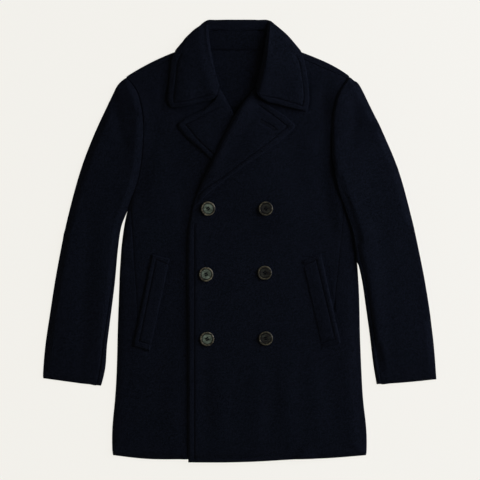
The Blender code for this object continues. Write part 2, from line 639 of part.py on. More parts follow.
def sleeve_plan(side):
    """Plan points of a laid sleeve; the last columns turn over the inner edge."""
    covered = ARMHOLE_COVERED[side]
    seam = armhole_points(side)[covered:][::-1]
    turn = -1 if side == "right" else 1
    seam = shifted(seam, turn * SEAM_GAP)
    lines = {name: curve_through(points) for name, points in SLEEVE[side].items()}
    outer = np.vstack([lines["outer"][:-1], seam[:1]])
    inner = np.vstack([lines["inner"][:-1], seam[-1:]])
    armhole = np.vstack([spread_over(seam, 1, start=EDGE_NEAR)[:2], seam[1:-1],
                         spread_over(seam, 1, end=FOREARM_TURN["armhole"])[1:]])
    cuff = spread_over(lines["cuff"], len(armhole) - 7, start=EDGE_NEAR, end=FOREARM_TURN["cuff"])
    west, east = (spread_over(line, SLEEVE_PARTS, EDGE_NEAR, EDGE_NEAR, HEAD_CROWDING)
                  for line in (outer, inner))
    return patch(cuff, armhole, west, east), (west, cuff, east, armhole)


def sleeve(side):
    """A laid sleeve: the under sleeve below, turned over the inner edge, and the top sleeve."""
    plan, (outer, cuff, inner, armhole) = sleeve_plan(side)
    x, y = plan[..., 0], plan[..., 1]
    lift = sleeve_lift(x, y)
    strip = len(FOREARM_TURN["cuff"]) - 1
    lost = height_lost(plan, (outer, cuff, inner), (armhole,))
    full = CLOTH + LAY_GAP + CLOTH
    over = np.full(x.shape, CLOTH)
    over[:, -strip:] = full * (1.0 - FOREARM_TURN["rounding"] * lost[:, -strip:])
    under_sleeve = laid_wall("under_sleeve_" + side, plan, lift + CLOTH * lost, lift + over)
    top_plan = plan[:, :-strip].copy()
    back_step = top_plan[:, -2] - top_plan[:, -1]
    back_step /= np.linalg.norm(back_step, axis=1)[:, None]
    top_plan[:, -1] += 2 * SEAM_GAP * back_step
    x, y = top_plan[..., 0], top_plan[..., 1]
    off_seam = distance_to(armhole, x, y)
    fullness = (HEAD_FULLNESS["height"] * smooth(off_seam / HEAD_FULLNESS["rise"])
                * (1.0 - smooth((off_seam - HEAD_FULLNESS["rise"]) / HEAD_FULLNESS["fade"])))
    lay = sleeve_lift(x, y) + CLOTH + LAY_GAP + fullness + ridges(SLEEVE_FOLDS, x, y)
    lost = height_lost(top_plan, (outer, cuff), (armhole, top_plan[:, -1]))
    top_sleeve = laid_wall("top_sleeve_" + side, top_plan, lay, lay + CLOTH * (1.0 - lost))
    return under_sleeve, top_sleeve


# ---------------------------------------------------------------- welts and buttons

def welt(side, carrier):
    """A pocket welt of two plies, sewn on at its inner edge and both ends."""
    top_outer, top_inner, low_inner, low_outer = np.array(WELT[side], dtype=float)
    lower, upper = (spread_over(np.array(ends), WELT_PARTS["across"], EDGE_NEAR, EDGE_NEAR)
                    for ends in ((low_outer, low_inner), (top_outer, top_inner)))
    outer, inner = (spread_over(np.array(ends), WELT_PARTS["along"], EDGE_NEAR, EDGE_NEAR)
                    for ends in ((low_outer, top_outer), (low_inner, top_inner)))
    plan = patch(lower, upper, outer, inner)
    carried = np.array([[height_on(carrier, *point) for point in row] for row in plan])
    under = carried + 1.5 * SEAM_GAP
    over = under + WELT_THICK * (1.0 - height_lost(plan, (lower, upper, outer, inner)))
    return laid_wall("pocket_welt_" + side, plan, under, over)


def button_mesh():
    """One turned button with four holes, cut while it stands at the middle."""
    builder = bmesh.new()
    outline = [builder.verts.new((radius * MM, 0, height * MM)) for radius, height in BUTTON_PROFILE]
    edges = [builder.edges.new(pair) for pair in zip(outline, outline[1:])]
    bmesh.ops.spin(builder, geom=outline + edges, axis=(0, 0, 1), cent=(0, 0, 0),
                   angle=2 * np.pi, steps=BUTTON_SIDES, use_merge=True)
    bmesh.ops.remove_doubles(builder, verts=builder.verts, dist=1e-6)
    button = new_object("button_1", builder, HORN)
    builder = bmesh.new()
    for place in range(4):
        turn = np.pi * (0.25 + 0.5 * place)
        spread = BUTTON_HOLE["spread"] * MM
        made = bmesh.ops.create_cone(builder, cap_ends=True, segments=BUTTON_HOLE["sides"],
                                     radius1=BUTTON_HOLE["radius"] * MM,
                                     radius2=BUTTON_HOLE["radius"] * MM, depth=0.02)
        bmesh.ops.translate(builder, verts=made["verts"],
                            vec=(spread * np.cos(turn), spread * np.sin(turn), 0))
    cutter = new_object("button_holes", builder, HORN)
    cut = button.modifiers.new("holes", "BOOLEAN")
    cut.object = cutter
    bpy.context.view_layer.update()
    mesh = bpy.data.meshes.new_from_object(button.evaluated_get(bpy.context.evaluated_depsgraph_get()))
    button.modifiers.clear()
    bpy.data.objects.remove(cutter)
    button.data = mesh
    return button


def buttons(carrier):
    """Six buttons on the left front, each just clear of the cloth."""
    first = button_mesh()
    for number, (x, y) in enumerate(BUTTONS, 1):
        button = first if number == 1 else bpy.data.objects.new("button_%d" % number, first.data)
        if number > 1:
            bpy.context.scene.collection.objects.link(button)
        around = [height_on(carrier, x + radius * np.cos(turn), y + radius * np.sin(turn))
                  for radius in BUTTON_REACH for turn in np.linspace(0, 2 * np.pi, 12)]
        button.location = (x * MM, y * MM, (max(around) + BUTTON_CLEAR) * MM)


# ---------------------------------------------------------------- the coat

def build():
    for old in list(bpy.data.objects):
        bpy.data.objects.remove(old)
    back()
    neck_facing()
    right_front = front("right", front_lay, lambda x, y: np.full(x.shape, CLOTH))
    left_front = front("left", over_front_lay, over_front_thick)
    lapel("right", lambda x, y: front_lay(x, y) + CLOTH + LAY_GAP)
    lapel("left", lambda x, y: over_front_lay(x, y) + over_front_thick(x, y) + 2 * LAY_GAP)
    collar()
    for side, carrier in (("right", right_front), ("left", left_front)):
        sleeve(side)
        welt(side, carrier)
    buttons(left_front)


build()
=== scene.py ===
import math

import bmesh
import bpy
import numpy as np
from mathutils import Matrix, Vector
from mathutils.bvhtree import BVHTree
from mathutils.kdtree import KDTree


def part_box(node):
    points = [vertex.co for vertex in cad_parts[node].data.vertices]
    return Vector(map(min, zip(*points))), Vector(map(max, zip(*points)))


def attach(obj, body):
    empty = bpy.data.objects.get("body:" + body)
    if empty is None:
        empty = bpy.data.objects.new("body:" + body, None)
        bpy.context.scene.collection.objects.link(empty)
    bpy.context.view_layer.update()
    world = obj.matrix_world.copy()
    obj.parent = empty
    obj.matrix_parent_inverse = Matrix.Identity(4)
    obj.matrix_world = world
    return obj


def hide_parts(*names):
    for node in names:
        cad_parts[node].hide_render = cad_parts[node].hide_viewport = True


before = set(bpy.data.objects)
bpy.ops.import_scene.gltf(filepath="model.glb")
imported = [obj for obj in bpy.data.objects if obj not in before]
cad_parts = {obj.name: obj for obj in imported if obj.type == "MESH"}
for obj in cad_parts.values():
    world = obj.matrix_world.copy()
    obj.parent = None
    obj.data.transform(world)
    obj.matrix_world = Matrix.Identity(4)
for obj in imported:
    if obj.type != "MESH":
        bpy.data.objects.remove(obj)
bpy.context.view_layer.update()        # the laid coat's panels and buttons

mm = 0.001
print("frame loaded:", len(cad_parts), "nodes")


def selectNone():
    bpy.ops.object.select_all(action="DESELECT")


def selectOnly(piece):
    selectNone()
    piece.select_set(True)
    bpy.context.view_layer.objects.active = piece


def put(name, data):
    made = bpy.data.objects.new(name, data)
    bpy.context.scene.collection.objects.link(made)
    return made


def editAll(action="SELECT"):
    bpy.ops.object.mode_set(mode="EDIT")
    bpy.ops.mesh.select_all(action=action)


def editDone():
    bpy.ops.object.mode_set(mode="OBJECT")


def dropMaps(mesh):
    while mesh.uv_layers:
        mesh.uv_layers.remove(mesh.uv_layers[0])


def ease(t):
    t = np.clip(t, 0.0, 1.0)
    return t * t * (3.0 - 2.0 * t)


def curveThrough(points, steps=10):
    # a smooth line through a few listed points
    points = np.array(points, float)
    if len(points) < 3:
        t = np.linspace(0, 1, steps + 1)[:, None]
        return points[0] * (1 - t) + points[1] * t
    padded = np.vstack([2 * points[0] - points[1], points, 2 * points[-1] - points[-2]])
    t = (np.arange(steps) / steps)[:, None]
    runs = []
    for a, b, c, d in zip(padded, padded[1:], padded[2:], padded[3:]):
        runs.append(0.5 * (2 * b + (c - a) * t + (2 * a - 5 * b + 4 * c - d) * t ** 2
                           + (3 * b - a - 3 * c + d) * t ** 3))
    return np.vstack(runs + [points[-1:]])


def joinRuns(runs):
    # smooth runs that meet in corners
    lines = [curveThrough(run) for run in runs]
    return np.vstack([lines[0]] + [line[1:] for line in lines[1:]])


def alongOf(line):
    return np.concatenate([[0.0], np.cumsum(np.linalg.norm(np.diff(line, axis=0), axis=1))])


def nearestOn(line, places):
    # for each place: distance to the line, which side it lies on, run along the line, and
    # whether the nearest point is the line's own end
    along = alongOf(line)
    best = np.full(len(places), 1e9)
    side, run, atEnd = np.ones(len(places)), np.zeros(len(places)), np.zeros(len(places), bool)
    for k in range(len(line) - 1):
        step = line[k + 1] - line[k]
        length = max(float(np.hypot(*step)), 1e-9)
        off = places - line[k]
        share = (off @ step) / length ** 2
        held = np.clip(share, 0.0, 1.0)
        away = np.hypot(off[:, 0] - held * step[0], off[:, 1] - held * step[1])
        nearer = away < best
        turn = step[0] * off[:, 1] - step[1] * off[:, 0]
        best = np.where(nearer, away, best)
        side = np.where(nearer, np.where(turn < 0, -1.0, 1.0), side)
        run = np.where(nearer, along[k] + held * length, run)
        ended = ((k == 0) & (share < 0)) | ((k == len(line) - 2) & (share > 1))
        atEnd = np.where(nearer, ended, atEnd)
    return best, side, run, atEnd


def awayFrom(line, places):
    return nearestOn(np.array(line, float), places)[0]


def pointsOf(piece):
    flat = np.zeros(len(piece.data.vertices) * 3)
    piece.data.vertices.foreach_get("co", flat)
    return flat.reshape(-1, 3) / mm


def normalsOf(piece):
    flat = np.zeros(len(piece.data.vertices) * 3)
    piece.data.vertex_normals.foreach_get("vector", flat)
    return flat.reshape(-1, 3)


def movePoints(piece, points):
    piece.data.vertices.foreach_set("co", (points * mm).ravel())
    piece.data.update()


def outerSide(normals, start=0.15, over=0.3):
    # 1 on the side that shows, 0 before the turned edge begins
    return ease((normals[:, 2] - start) / over)


def overTheEdge(normals):
    # 1 on the side that shows, fading round the turned edge
    return outerSide(normals, start=-0.2, over=0.5)


def surfaceUnder(piece):
    return BVHTree.FromPolygons([vertex.co for vertex in piece.data.vertices],
                                [face.vertices for face in piece.data.polygons])


def dropOnto(surface, x, y, top=0.1):
    # where a plumb line at x, y in metres meets the cloth, and the cloth's normal there
    return surface.ray_cast(Vector((x, y, top)), Vector((0, 0, -1)))[:2]


def rimTree(piece, upright=0.35, perEdge=5):
    # the piece's turned edge, as places that distances are measured from
    points, normals = pointsOf(piece), normalsOf(piece)
    turned = np.abs(normals[:, 2]) < upright
    edges = np.array([edge.vertices[:] for edge in piece.data.edges])
    edges = edges[turned[edges].all(axis=1)]
    shares = np.linspace(0, 1, perEdge)[:, None, None]
    rim = (points[edges[:, 0]] * (1 - shares) + points[edges[:, 1]] * shares).reshape(-1, 3)
    tree = KDTree(len(rim))
    for index, point in enumerate(rim):
        tree.insert((point[0], point[1], 0.0), index)
    tree.balance()
    return tree


def insetFrom(tree, places):
    return np.array([tree.find((x, y, 0.0))[2] for x, y in places])


def closeSeam(piece, neighbour, bottom, reach=7.0, gap=0.45):
    # draws a seam's edge, above the given height, over to the panel that it is sewn to
    tree = rimTree(neighbour)
    points = pointsOf(piece)
    for index, (x, y, _) in enumerate(points):
        if y > bottom:
            spot, _, away = tree.find((x, y, 0.0))
            if 1e-3 < away < reach:
                pull = gap * (1 - ease(away / reach)) / away
                points[index, 0] += (spot.x - x) * pull
                points[index, 1] += (spot.y - y) * pull
    movePoints(piece, points)


def roundEdge(piece, radius=5.0, drop=0.9, floor=0.3):
    # the outer side falls away softly towards the turned edge
    tree = rimTree(piece)
    points, normals = pointsOf(piece), normalsOf(piece)
    inset = insetFrom(tree, points[:, :2])
    share = 1 - np.clip(inset / radius, 0, 1)
    fall = drop * (1 - np.sqrt(np.maximum(1 - share ** 2, 0)))
    fallen = points[:, 2] - fall * overTheEdge(normals)
    points[:, 2] = np.maximum(fallen, np.minimum(points[:, 2], floor))  # never below the floor
    movePoints(piece, points)


panelMesh = {
    "merge": 0.02,
    "quadAngle": 70,
    "upright": 0.85,  # normals flatter than this belong to the outline
    "widen": (-0.3, 1.0),
    "passes": 3,
}


def clothFrom(name, node, levels):
    # a copy of the frame's panel, made smooth
    piece = put(name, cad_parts[node].data.copy())
    piece.data.materials.clear()
    dropMaps(piece.data)
    selectOnly(piece)
    bpy.ops.mesh.customdata_custom_splitnormals_clear()
    editAll()
    bpy.ops.mesh.remove_doubles(threshold=panelMesh["merge"] * mm)
    flattest = math.radians(panelMesh["quadAngle"])
    bpy.ops.mesh.tris_convert_to_quads(face_threshold=flattest, shape_threshold=flattest)
    bpy.ops.mesh.faces_shade_smooth()
    editDone()
    weight = piece.modifiers.new("weight", "SUBSURF")
    weight.levels = weight.render_levels = levels
    wanted, normals = pointsOf(piece), normalsOf(piece)
    outward = normals[:, :2] / np.maximum(np.linalg.norm(normals[:, :2], axis=1), 1e-6)[:, None]
    rim = np.abs(normals[:, 2]) < panelMesh["upright"]
    cage = wanted.copy()
    for _ in range(panelMesh["passes"]):  # widen the cage until the smooth outline fits the panel
        evaluated = piece.evaluated_get(bpy.context.evaluated_depsgraph_get())
        short = ((wanted - pointsOf(evaluated)[:len(cage)])[:, :2] * outward).sum(axis=1)
        cage[:, :2] += outward * (np.clip(short, *panelMesh["widen"]) * rim)[:, None]
        movePoints(piece, cage)
    bpy.ops.object.modifier_apply(modifier=weight.name)
    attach(piece, "root")
    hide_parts(node)
    return piece


def refineNear(piece, lines, reach, outward=0.2):
    # finer faces on the outer side, close to the sewing
    selectOnly(piece)
    editAll("DESELECT")
    sheet = bmesh.from_edit_mesh(piece.data)
    faces = [face for face in sheet.faces if face.normal.z > outward]
    centres = np.array([face.calc_center_median()[:2] for face in faces]) / mm
    close = np.zeros(len(faces), bool)
    for line in lines:
        close |= awayFrom(line, centres) < reach
    for face, chosen in zip(faces, close):
        if chosen:
            face.select_set(True)
    bmesh.update_edit_mesh(piece.data)
    if close.any():
        bpy.ops.mesh.subdivide(number_cuts=1)
    editDone()


# lifts of the laid cloth in mm; a fold or hollow: start x, y, end x, y, half width, height
bodyDrape = {
    "fullness": 3.2,  # how far the fronts stand off the back
    "rim": 3,  # flat for this much at the edges
    "turn": 34.0,  # risen over this much from the edges
    "quickTurn": 12.0,  # but over this little along the hem and the right side
    "quickReach": 30.0,
    "quickEdge": ((-217, 84), (-230, 30), (-240, -60), (-247, -259), (-255, -429), (120, -437),
                  (252, -429)),
    "shoulder": (250, 90, 0.8),  # from this height, over this much, this share is lost
    "folds": (
        (-112, 270, -108, 348, 25, 3.4),  # under the collar's fall
        (-84, 222, -58, 176, 22, 2.6),  # under the lower lapel's tip
        (-88, 30, -88, -436, 13, 2.0),  # under the front edge
        (-98, 20, -98, -436, 4, 0.8),  # between the edge and its stitching
        (-202, 120, -222, -40, 15, 1.6), (-226, -60, -236, -400, 13, 1.6),
        (-190, 296, -150, 306, 18, 2.4), (-190, 20, -200, -300, 24, 1.0),
        (-122, -240, -132, -425, 22, 2.0), (-40, -250, -36, -420, 20, 1.2),
        (40, -262, 28, -425, 20, 1.6), (90, -245, 104, -430, 18, 1.8),
        (150, -235, 158, -425, 20, 1.5), (226, -50, 237, -410, 15, 3.6),
        (-236, -424, 244, -424, 14, 0.8),  # the turned-up hem
        (88, 232, 44, 182, 24, 1.8), (132, 200, 150, 60, 26, 1.6),
        (126, -48, 163, -214, 5, 0.6),  # the front stands up where the left welt leaves it
        (60, 185, 150, 120, 30, 1.2), (-150, 150, -176, 40, 26, 1.2),
        (-120, 205, -60, 150, 24, 1.0),
    ),
    "hollows": (
        (176, 325, 170, 250, 17, 4.4), (150, 345, 140, 300, 14, 1.2),
        (164, 140, 182, 30, 18, 2.4), (176, -230, 184, -380, 18, 1.0),
        (90, 372, 98, 250, 14, 1.6), (-70, -290, -66, -400, 16, 1.0),
        (66, -270, 60, -400, 14, 1.0), (-176, 300, -170, 210, 18, 1.2),
        (-157, 325, -157, 262, 9, 2.6),  # beside and below the collar's leaf
        (-148, 253, -82, 260, 8, 2.4), (-113, 90, -117, 10, 10, 1.8),
    ),
}
armholes = (
    # both panels of a seam stand up together: the right armhole, then the left one
    (-205, 300, -194, 240, 19, 3.8),
    (-194, 236, -197, 160, 18, 3.6),
    (197, 300, 187, 240, 17, 5.2),
    (187, 235, 184, 170, 14, 1.8),
    (184, 160, 207, 30, 18, 4.8),
)
sleeveDrape = {
    "fullness": 4.6,
    "rim": 1,
    "turn": 15.0,
    "quickTurn": 5.0,  # along the left armhole
    "quickReach": 18.0,
    "quickEdge": ((216, 318), (198, 288), (187, 240), (184, 175), (187, 135)),
    "cuffShare": 0.35,  # fullness left at the cuff, and where it comes in
    "cuff": (-280, 90),
    "folds": (
        (-352, 30, -364, -250, 22, 1.2), (-264, 70, -284, -256, 14, 1.2),
        (256, 20, 286, -270, 14, 2.4), (212, 120, 246, -30, 16, 1.2),
        (214, 300, 202, 206, 14, 2.4), (262, 250, 286, 190, 20, 1.4),
        (-262, 230, -300, 140, 20, 1.0),
    ),
    "hollows": (
        (-258, 302, -234, 196, 14, 3.4), (-300, 60, -318, -240, 16, 2.2),
        (236, 262, 222, 190, 12, 2.0), (330, 60, 350, -160, 20, 0.8),
    ),
}
bandEnd = 0.55  # share of a fold's height that is left at its ends


def bandsAt(table, places):
    height = np.zeros(len(places))
    for ax, ay, bx, by, halfWidth, rise in table:
        away, _, run, _ = nearestOn(np.array([(ax, ay), (bx, by)], float), places)
        whole = math.hypot(bx - ax, by - ay)
        taper = bandEnd + (1 - bandEnd) * np.sin(np.pi * np.clip(run / whole, 0, 1))
        height += rise * taper * np.exp(-(away / halfWidth) ** 2)
    return height


def puffed(drape, outline, places):
    # a drape's folds, low at the outline and sooner full along its quick edge
    quick = 1 - ease(awayFrom(drape["quickEdge"], places) / drape["quickReach"])
    turn = drape["turn"] + (drape["quickTurn"] - drape["turn"]) * quick
    full = ease((insetFrom(outline, places) - drape["rim"] * (1 - quick)) / turn)
    level = drape["fullness"] + bandsAt(drape["folds"], places)
    level = level - bandsAt(drape["hollows"], places)
    return np.maximum(level, 0) * full


def bodyLift(places):
    start, over, lost = bodyDrape["shoulder"]
    upToShoulder = 1 - ease((places[:, 1] - start) / over) * lost
    return puffed(bodyDrape, bodyRim, places) * upToShoulder + bandsAt(armholes, places)


def liftPiece(piece, lift):
    points = pointsOf(piece)
    points[:, 2] += lift(points[:, :2])
    movePoints(piece, points)


def sleeveLift(outline):
    def lift(places):
        share, (start, over) = sleeveDrape["cuffShare"], sleeveDrape["cuff"]
        cuff = share + (1 - share) * ease((places[:, 1] - start) / over)
        return puffed(sleeveDrape, outline, places) * cuff + bandsAt(armholes, places)

    return lift


def puffSleeve(top, under):
    # the top sleeve rises with the strip of the under sleeve that turns over the inner edge
    lift = sleeveLift(rimTree(under))
    cover = surfaceUnder(top)
    points = pointsOf(under)
    shown = np.array([dropOnto(cover, x * mm, y * mm)[0] is None for x, y, _ in points])
    points[:, 2] += lift(points[:, :2]) * shown
    movePoints(under, points)
    liftPiece(top, lift)


# sewing sizes in mm, then the routes of the topstitching and of the flat seams
sewing = {
    "grooveDepth": 1.5,
    "grooveWidth": 1.8,
    "seamDepth": 1.0,
    "seamWidth": 1.2,
    "dip": (0.4, 2.6),  # share and width of the wide dip that a groove lies in
    "fineReach": (11.0, 6.5),  # finer faces this near, once and again
    "pitch": 3.4,
    "thread": (1.3, 0.26, 0.2),  # half length, half width, half height of a stitch
    "halfSpan": 0.8,  # between the two places that a stitch is laid by
    "steepest": 0.3,  # no stitch where the cloth's normal lies lower
    "sunk": 0.02,
    "far": 50.0,  # the map's distance where nothing is sewn
}
topstitching = {
    "turnedCollar": (
        (((-47, 292), (-78, 287), (-106, 279), (-131, 275.5)),
         ((-131, 275.5), (-132.5, 284), (-130, 306), (-127, 335), (-124, 358), (-118, 370))),
        (((44, 289), (72, 284), (104, 275.5), (124.5, 269)),
         ((124.5, 269), (128, 284), (127, 306), (123, 335), (119, 355), (113, 368))),
    ),
    "leftLapel": (
        (((37, 272), (66, 250.5), (95, 228.5)),
         ((95, 228.5), (60, 198), (14, 164), (-30, 130), (-76, 98), (-88, 74))),
    ),
    "rightLapel": (
        (((-46, 264), (-77, 248), (-108, 231)),
         ((-108, 231), (-82, 200), (-47, 168), (0, 132), (30, 112))),
    ),
    "leftFront": ((((-90.5, 26), (-91, 10), (-91, -200), (-91, -436)),),),
    "rightWelt": ((((-142, -48), (-167.5, -38)), ((-167.5, -38), (-201, -201)),
                   ((-201, -201), (-177, -208)),),),
    "leftWelt": ((((127, -50), (152, -37.5)), ((152, -37.5), (190, -197)),
                  ((190, -197), (166, -203.5)),),),
}
flatSeams = {
    "neckFacing": ((((-60, 382), (-4, 381), (50, 382)),), (((-62, 422), (-4, 418.6), (52, 422)),)),
    "turnedCollar": ((((-62, 422), (-4, 418.6), (52, 422)),), (((-40.5, 306), (-44, 295), (-50, 283)),),
                     (((31.5, 306), (35.5, 297), (42, 286), (51, 279)),)),
    "rightFront": ((((-218, 66), (-214, 7), (-210, -60), (-206, -115), (-204, -160)),),),
    "leftFront": ((((207, 58), (203, 10), (190, -119), (189, -140)),),),
}
buttonhole = {
    "ends": ((43.4, 238.4), (69.0, 223.0)),
    "bead": 1.2,  # middle of the worked edge, from the slit
    "outside": 2.5,
    "pitch": 0.8,
    "size": 0.85,  # of a stitch, against the topstitching's
    "halfSpan": 0.3,
    "above": 0.12,
}


def loopRound(half, steps=9):
    # an elongated loop at one distance from the slit
    start, end = (np.array(place) for place in buttonhole["ends"])
    run = (end - start) / np.linalg.norm(end - start)
    across = np.array([-run[1], run[0]])
    turns = np.linspace(-math.pi / 2, math.pi / 2, steps)
    far = [end + half * (run * math.cos(turn) + across * math.sin(turn)) for turn in turns]
    near = [start - half * (run * math.cos(turn) + across * math.sin(turn)) for turn in turns]
    return np.array(far + near + far[:1])


def sewInto(piece, key):
    # lays the grooves into the cloth, then keeps their place for the material
    stitched = [joinRuns(runs) for runs in topstitching.get(key, ())]
    seamed = [joinRuns(runs) for runs in flatSeams.get(key, ())]
    if key == "leftLapel":
        seamed += [loopRound(buttonhole["outside"]), np.array(buttonhole["ends"])]
    if not stitched and not seamed:
        addSewingMap(piece, [], [])
        return stitched
    for reach in sewing["fineReach"]:
        refineNear(piece, stitched + seamed, reach)
    points, normals = pointsOf(piece), normalsOf(piece)
    outer = outerSide(normals)
    wideShare, wide = sewing["dip"]
    for lines, depth, width in ((stitched, sewing["grooveDepth"], sewing["grooveWidth"]),
                                (seamed, sewing["seamDepth"], sewing["seamWidth"])):
        for line in lines:
            away = awayFrom(line, points[:, :2])
            soft = (wideShare * np.exp(-(away / (wide * width)) ** 2)
                    + (1 - wideShare) * np.exp(-(away / width) ** 2))
            points -= normals * (depth * outer * soft)[:, None]
    movePoints(piece, points)
    addSewingMap(piece, stitched, seamed)
    return stitched


def addSewingMap(piece, stitched, seamed, outward=0.1):
    # a map of the piece whose u is the distance to the topstitching and v to a flat seam
    mesh = piece.data
    mapped = mesh.uv_layers.new(name="sewing")
    corners = np.zeros(len(mesh.loops), int)
    mesh.loops.foreach_get("vertex_index", corners)
    points = pointsOf(piece)
    outer = normalsOf(piece)[:, 2] > outward
    values = np.full((len(mesh.loops), 2), sewing["far"])
    for column, lines in enumerate((stitched, seamed)):
        for line in lines:
            away, _, _, atEnd = nearestOn(line, points[:, :2])
            away = np.where(outer & ~atEnd, away, sewing["far"])
            values[:, column] = np.minimum(values[:, column], away[corners])
    mapped.data.foreach_set("uv", (values * mm).ravel())


def stitchShape():
    # one stitch of thread, made once
    selectNone()
    bpy.ops.mesh.primitive_uv_sphere_add(segments=6, ring_count=6, radius=1.0, location=(0, 0, 0))
    stitch = bpy.context.active_object
    editAll()
    bpy.ops.transform.rotate(value=math.radians(90), orient_axis="Y", center_override=(0, 0, 0))
    bpy.ops.transform.resize(value=sewing["thread"])
    editDone()
    points = np.array([vertex.co for vertex in stitch.data.vertices])
    faces = [tuple(face.vertices) for face in stitch.data.polygons]
    bpy.data.objects.remove(stitch)
    return points, faces


def stitchPiece(name, places, size=1.0):
    # many stitches in one mesh: each place is (middle, run, up) in mm and directions
    points, faces = stitchOne[0] * size, stitchOne[1]
    allPoints, allFaces = [], []
    for middle, run, up in places:
        across = up.cross(run).normalized()
        turn = np.array([list(run), list(across), list(run.cross(across))])
        allFaces += [tuple(index + len(allPoints) * len(points) for index in face) for face in faces]
        allPoints.append(points @ turn + np.array(middle))
    mesh = bpy.data.meshes.new(name)
    mesh.from_pydata((np.vstack(allPoints) * mm).tolist(), [], allFaces)
    mesh.shade_smooth()
    piece = put(name, mesh)
    selectOnly(piece)
    editAll()
    bpy.ops.mesh.normals_make_consistent(inside=False)
    editDone()
    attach(piece, "root")
    return piece


def stitchesAlong(name, carrier, lines):
    surface = surfaceUnder(carrier)
    places = []
    for line in lines:
        along = alongOf(line)
        stops = np.arange(sewing["pitch"] / 2, along[-1], sewing["pitch"])
        for stop in stops:
            ends = []
            for shift in (-sewing["halfSpan"], sewing["halfSpan"]):
                x, y = (np.interp(stop + shift, along, line[:, axis]) for axis in (0, 1))
                ends.append(dropOnto(surface, x * mm, y * mm))
            (first, up), (second, _) = ends
            if first is None or second is None or up.z < sewing["steepest"]:
                continue
            middle = (first + second) / 2 / mm - up * sewing["sunk"]
            places.append((middle, (second - first).normalized(), up))
    return stitchPiece(name, places)


def workButtonhole(name, carrier):
    # a bead of stitches that cross the edge of the slit all round
    surface = surfaceUnder(carrier)
    line = loopRound(buttonhole["bead"])
    along = alongOf(line)
    places = []
    for stop in np.arange(0, along[-1], buttonhole["pitch"]):
        spots = [[np.interp(stop + shift, along, line[:, axis], period=along[-1]) for axis in (0, 1)]
                 for shift in (-buttonhole["halfSpan"], buttonhole["halfSpan"])]
        middle, step = np.mean(spots, axis=0), np.subtract(spots[1], spots[0])
        hit, up = dropOnto(surface, *(middle * mm))
        edge = Vector((step[0], step[1], 0)).normalized()
        places.append((hit / mm + up * buttonhole["above"], up.cross(edge).normalized(), up))
    return stitchPiece(name, places, buttonhole["size"])


print("making the cloth")
backPanel = clothFrom("backPanel", "back", 2)
bodyRim = rimTree(backPanel)
addSewingMap(backPanel, [], [])

panels = {"backPanel": backPanel}
threads = {}
onTheBody = ("rightFront", "leftFront", "rightLapel", "leftLapel", "rightWelt", "leftWelt")
sides = ("right", "left")
for name, node, levels in (
        ("rightFront", "front_right", 3), ("leftFront", "front_left", 3),
        ("rightLapel", "lapel_right", 3), ("leftLapel", "lapel_left", 3),
        ("turnedCollar", "collar", 2), ("neckFacing", "back_neck_facing", 3),
        ("rightWelt", "pocket_welt_right", 3), ("leftWelt", "pocket_welt_left", 3),
        ("rightTopSleeve", "top_sleeve_right", 3), ("leftTopSleeve", "top_sleeve_left", 3),
        ("rightUnderSleeve", "under_sleeve_right", 2), ("leftUnderSleeve", "under_sleeve_left", 2)):
    panels[name] = clothFrom(name, node, levels)

for name in onTheBody:
    liftPiece(panels[name], bodyLift)
for side in sides:
    puffSleeve(panels[side + "TopSleeve"], panels[side + "UnderSleeve"])


rolls = {
    # how each fold turns: edge line, then how far in it is rounded, by how much, from what height
    "turnedCollar": (((-61.6, 441), (-59.6, 405), (-56, 371), (-50.5, 341), (-41, 314), (-36, 302)),
                     ((54.4, 441), (50, 405), (47, 371), (41, 343), (36, 324), (31, 305)),
                     26.0, 4.2, (11.0, 20.0)),
    "rightLapel": (((-41, 307), (-29, 285), (-12, 255), (10, 215)), 20.0, 2.6, (10.0, 15.0)),
    "leftLapel": (((31, 305), (8, 278), (-9, 252), (-34, 205), (-72, 124), (-97, 58)),
                  12.0, 1.8, (12.0, 20.0)),
}
lapelFall = {
    # the upper lapel comes down from its roll sooner than the panel does
    "height": 6.5,
    "level": (40, 270),  # none at the first height, full at the second
    "made": (14.0, 62.0),  # where the fall starts and over how much, before and after
    "worn": (4.0, 34.0),
    "sunk": 4.6,  # how far the roll itself is pressed down
    "sunkLevel": (60, 150),
    "sunkReach": 66.0,
}
pressedUnder = {
    # lines on a panel that an edge lying on it presses in
    "leftFront": (((112, 228), (72, 190), (22, 155.5), (-22, 123.5), (-66, 88), (-92, 60)),
                  ((137, 262), (139, 280), (139, 306), (135, 337)),
                  ((163, -216), (203, -205), (164, -24), (122, -36))),
    "rightFront": (((-125, 230), (-89, 190), (-54, 158), (-30, 139)),
                   ((-51, 281), (-78, 275.5), (-105, 267.5), (-139, 264), (-146, 281), (-144, 306)),
                   ((-138, -36), (-179, -222), (-215, -211), (-176, -25), (-138, -36))),
}
press = {"depth": 1.4, "width": 2.6}
collarCrest = (
    # beside each roll: how far in, its width on the roll's side and on the other, its rise
    (20.0, 13.0, 17.0, 2.6),
    (8.0, 6.0, 34.0, 8.6),
)
collarRest = (330, 40)  # up from here, over this much, the collar leaves the fronts
settled = {"place": (-97, 58), "reach": (12.0, 52.0), "above": 0.4, "below": 0.05}
nudges = (
    # piece, spot, push and reach
    ("neckFacing", (-59, 413), (-4.0, 6.0), 16.0),
    ("neckFacing", (50, 413), (4.0, 6.0), 16.0),
    ("leftTopSleeve", (218, 321.5), (1.5, 4.0), 12.0),
    ("leftUnderSleeve", (236, -38), (-3.4, 0.0), 13.0),
)
frontShift = {"by": 1.8, "edge": -101.0, "reach": 30.0, "top": 20.0}
weltTilt = {
    "edge": ((124, -39), (164, -214)),
    "rise": 1.8,  # at the far side, reached over this much
    "reach": 38.0,
    "drop": 1.3,  # at the edge itself, gone over this much
    "near": 14.0,
}


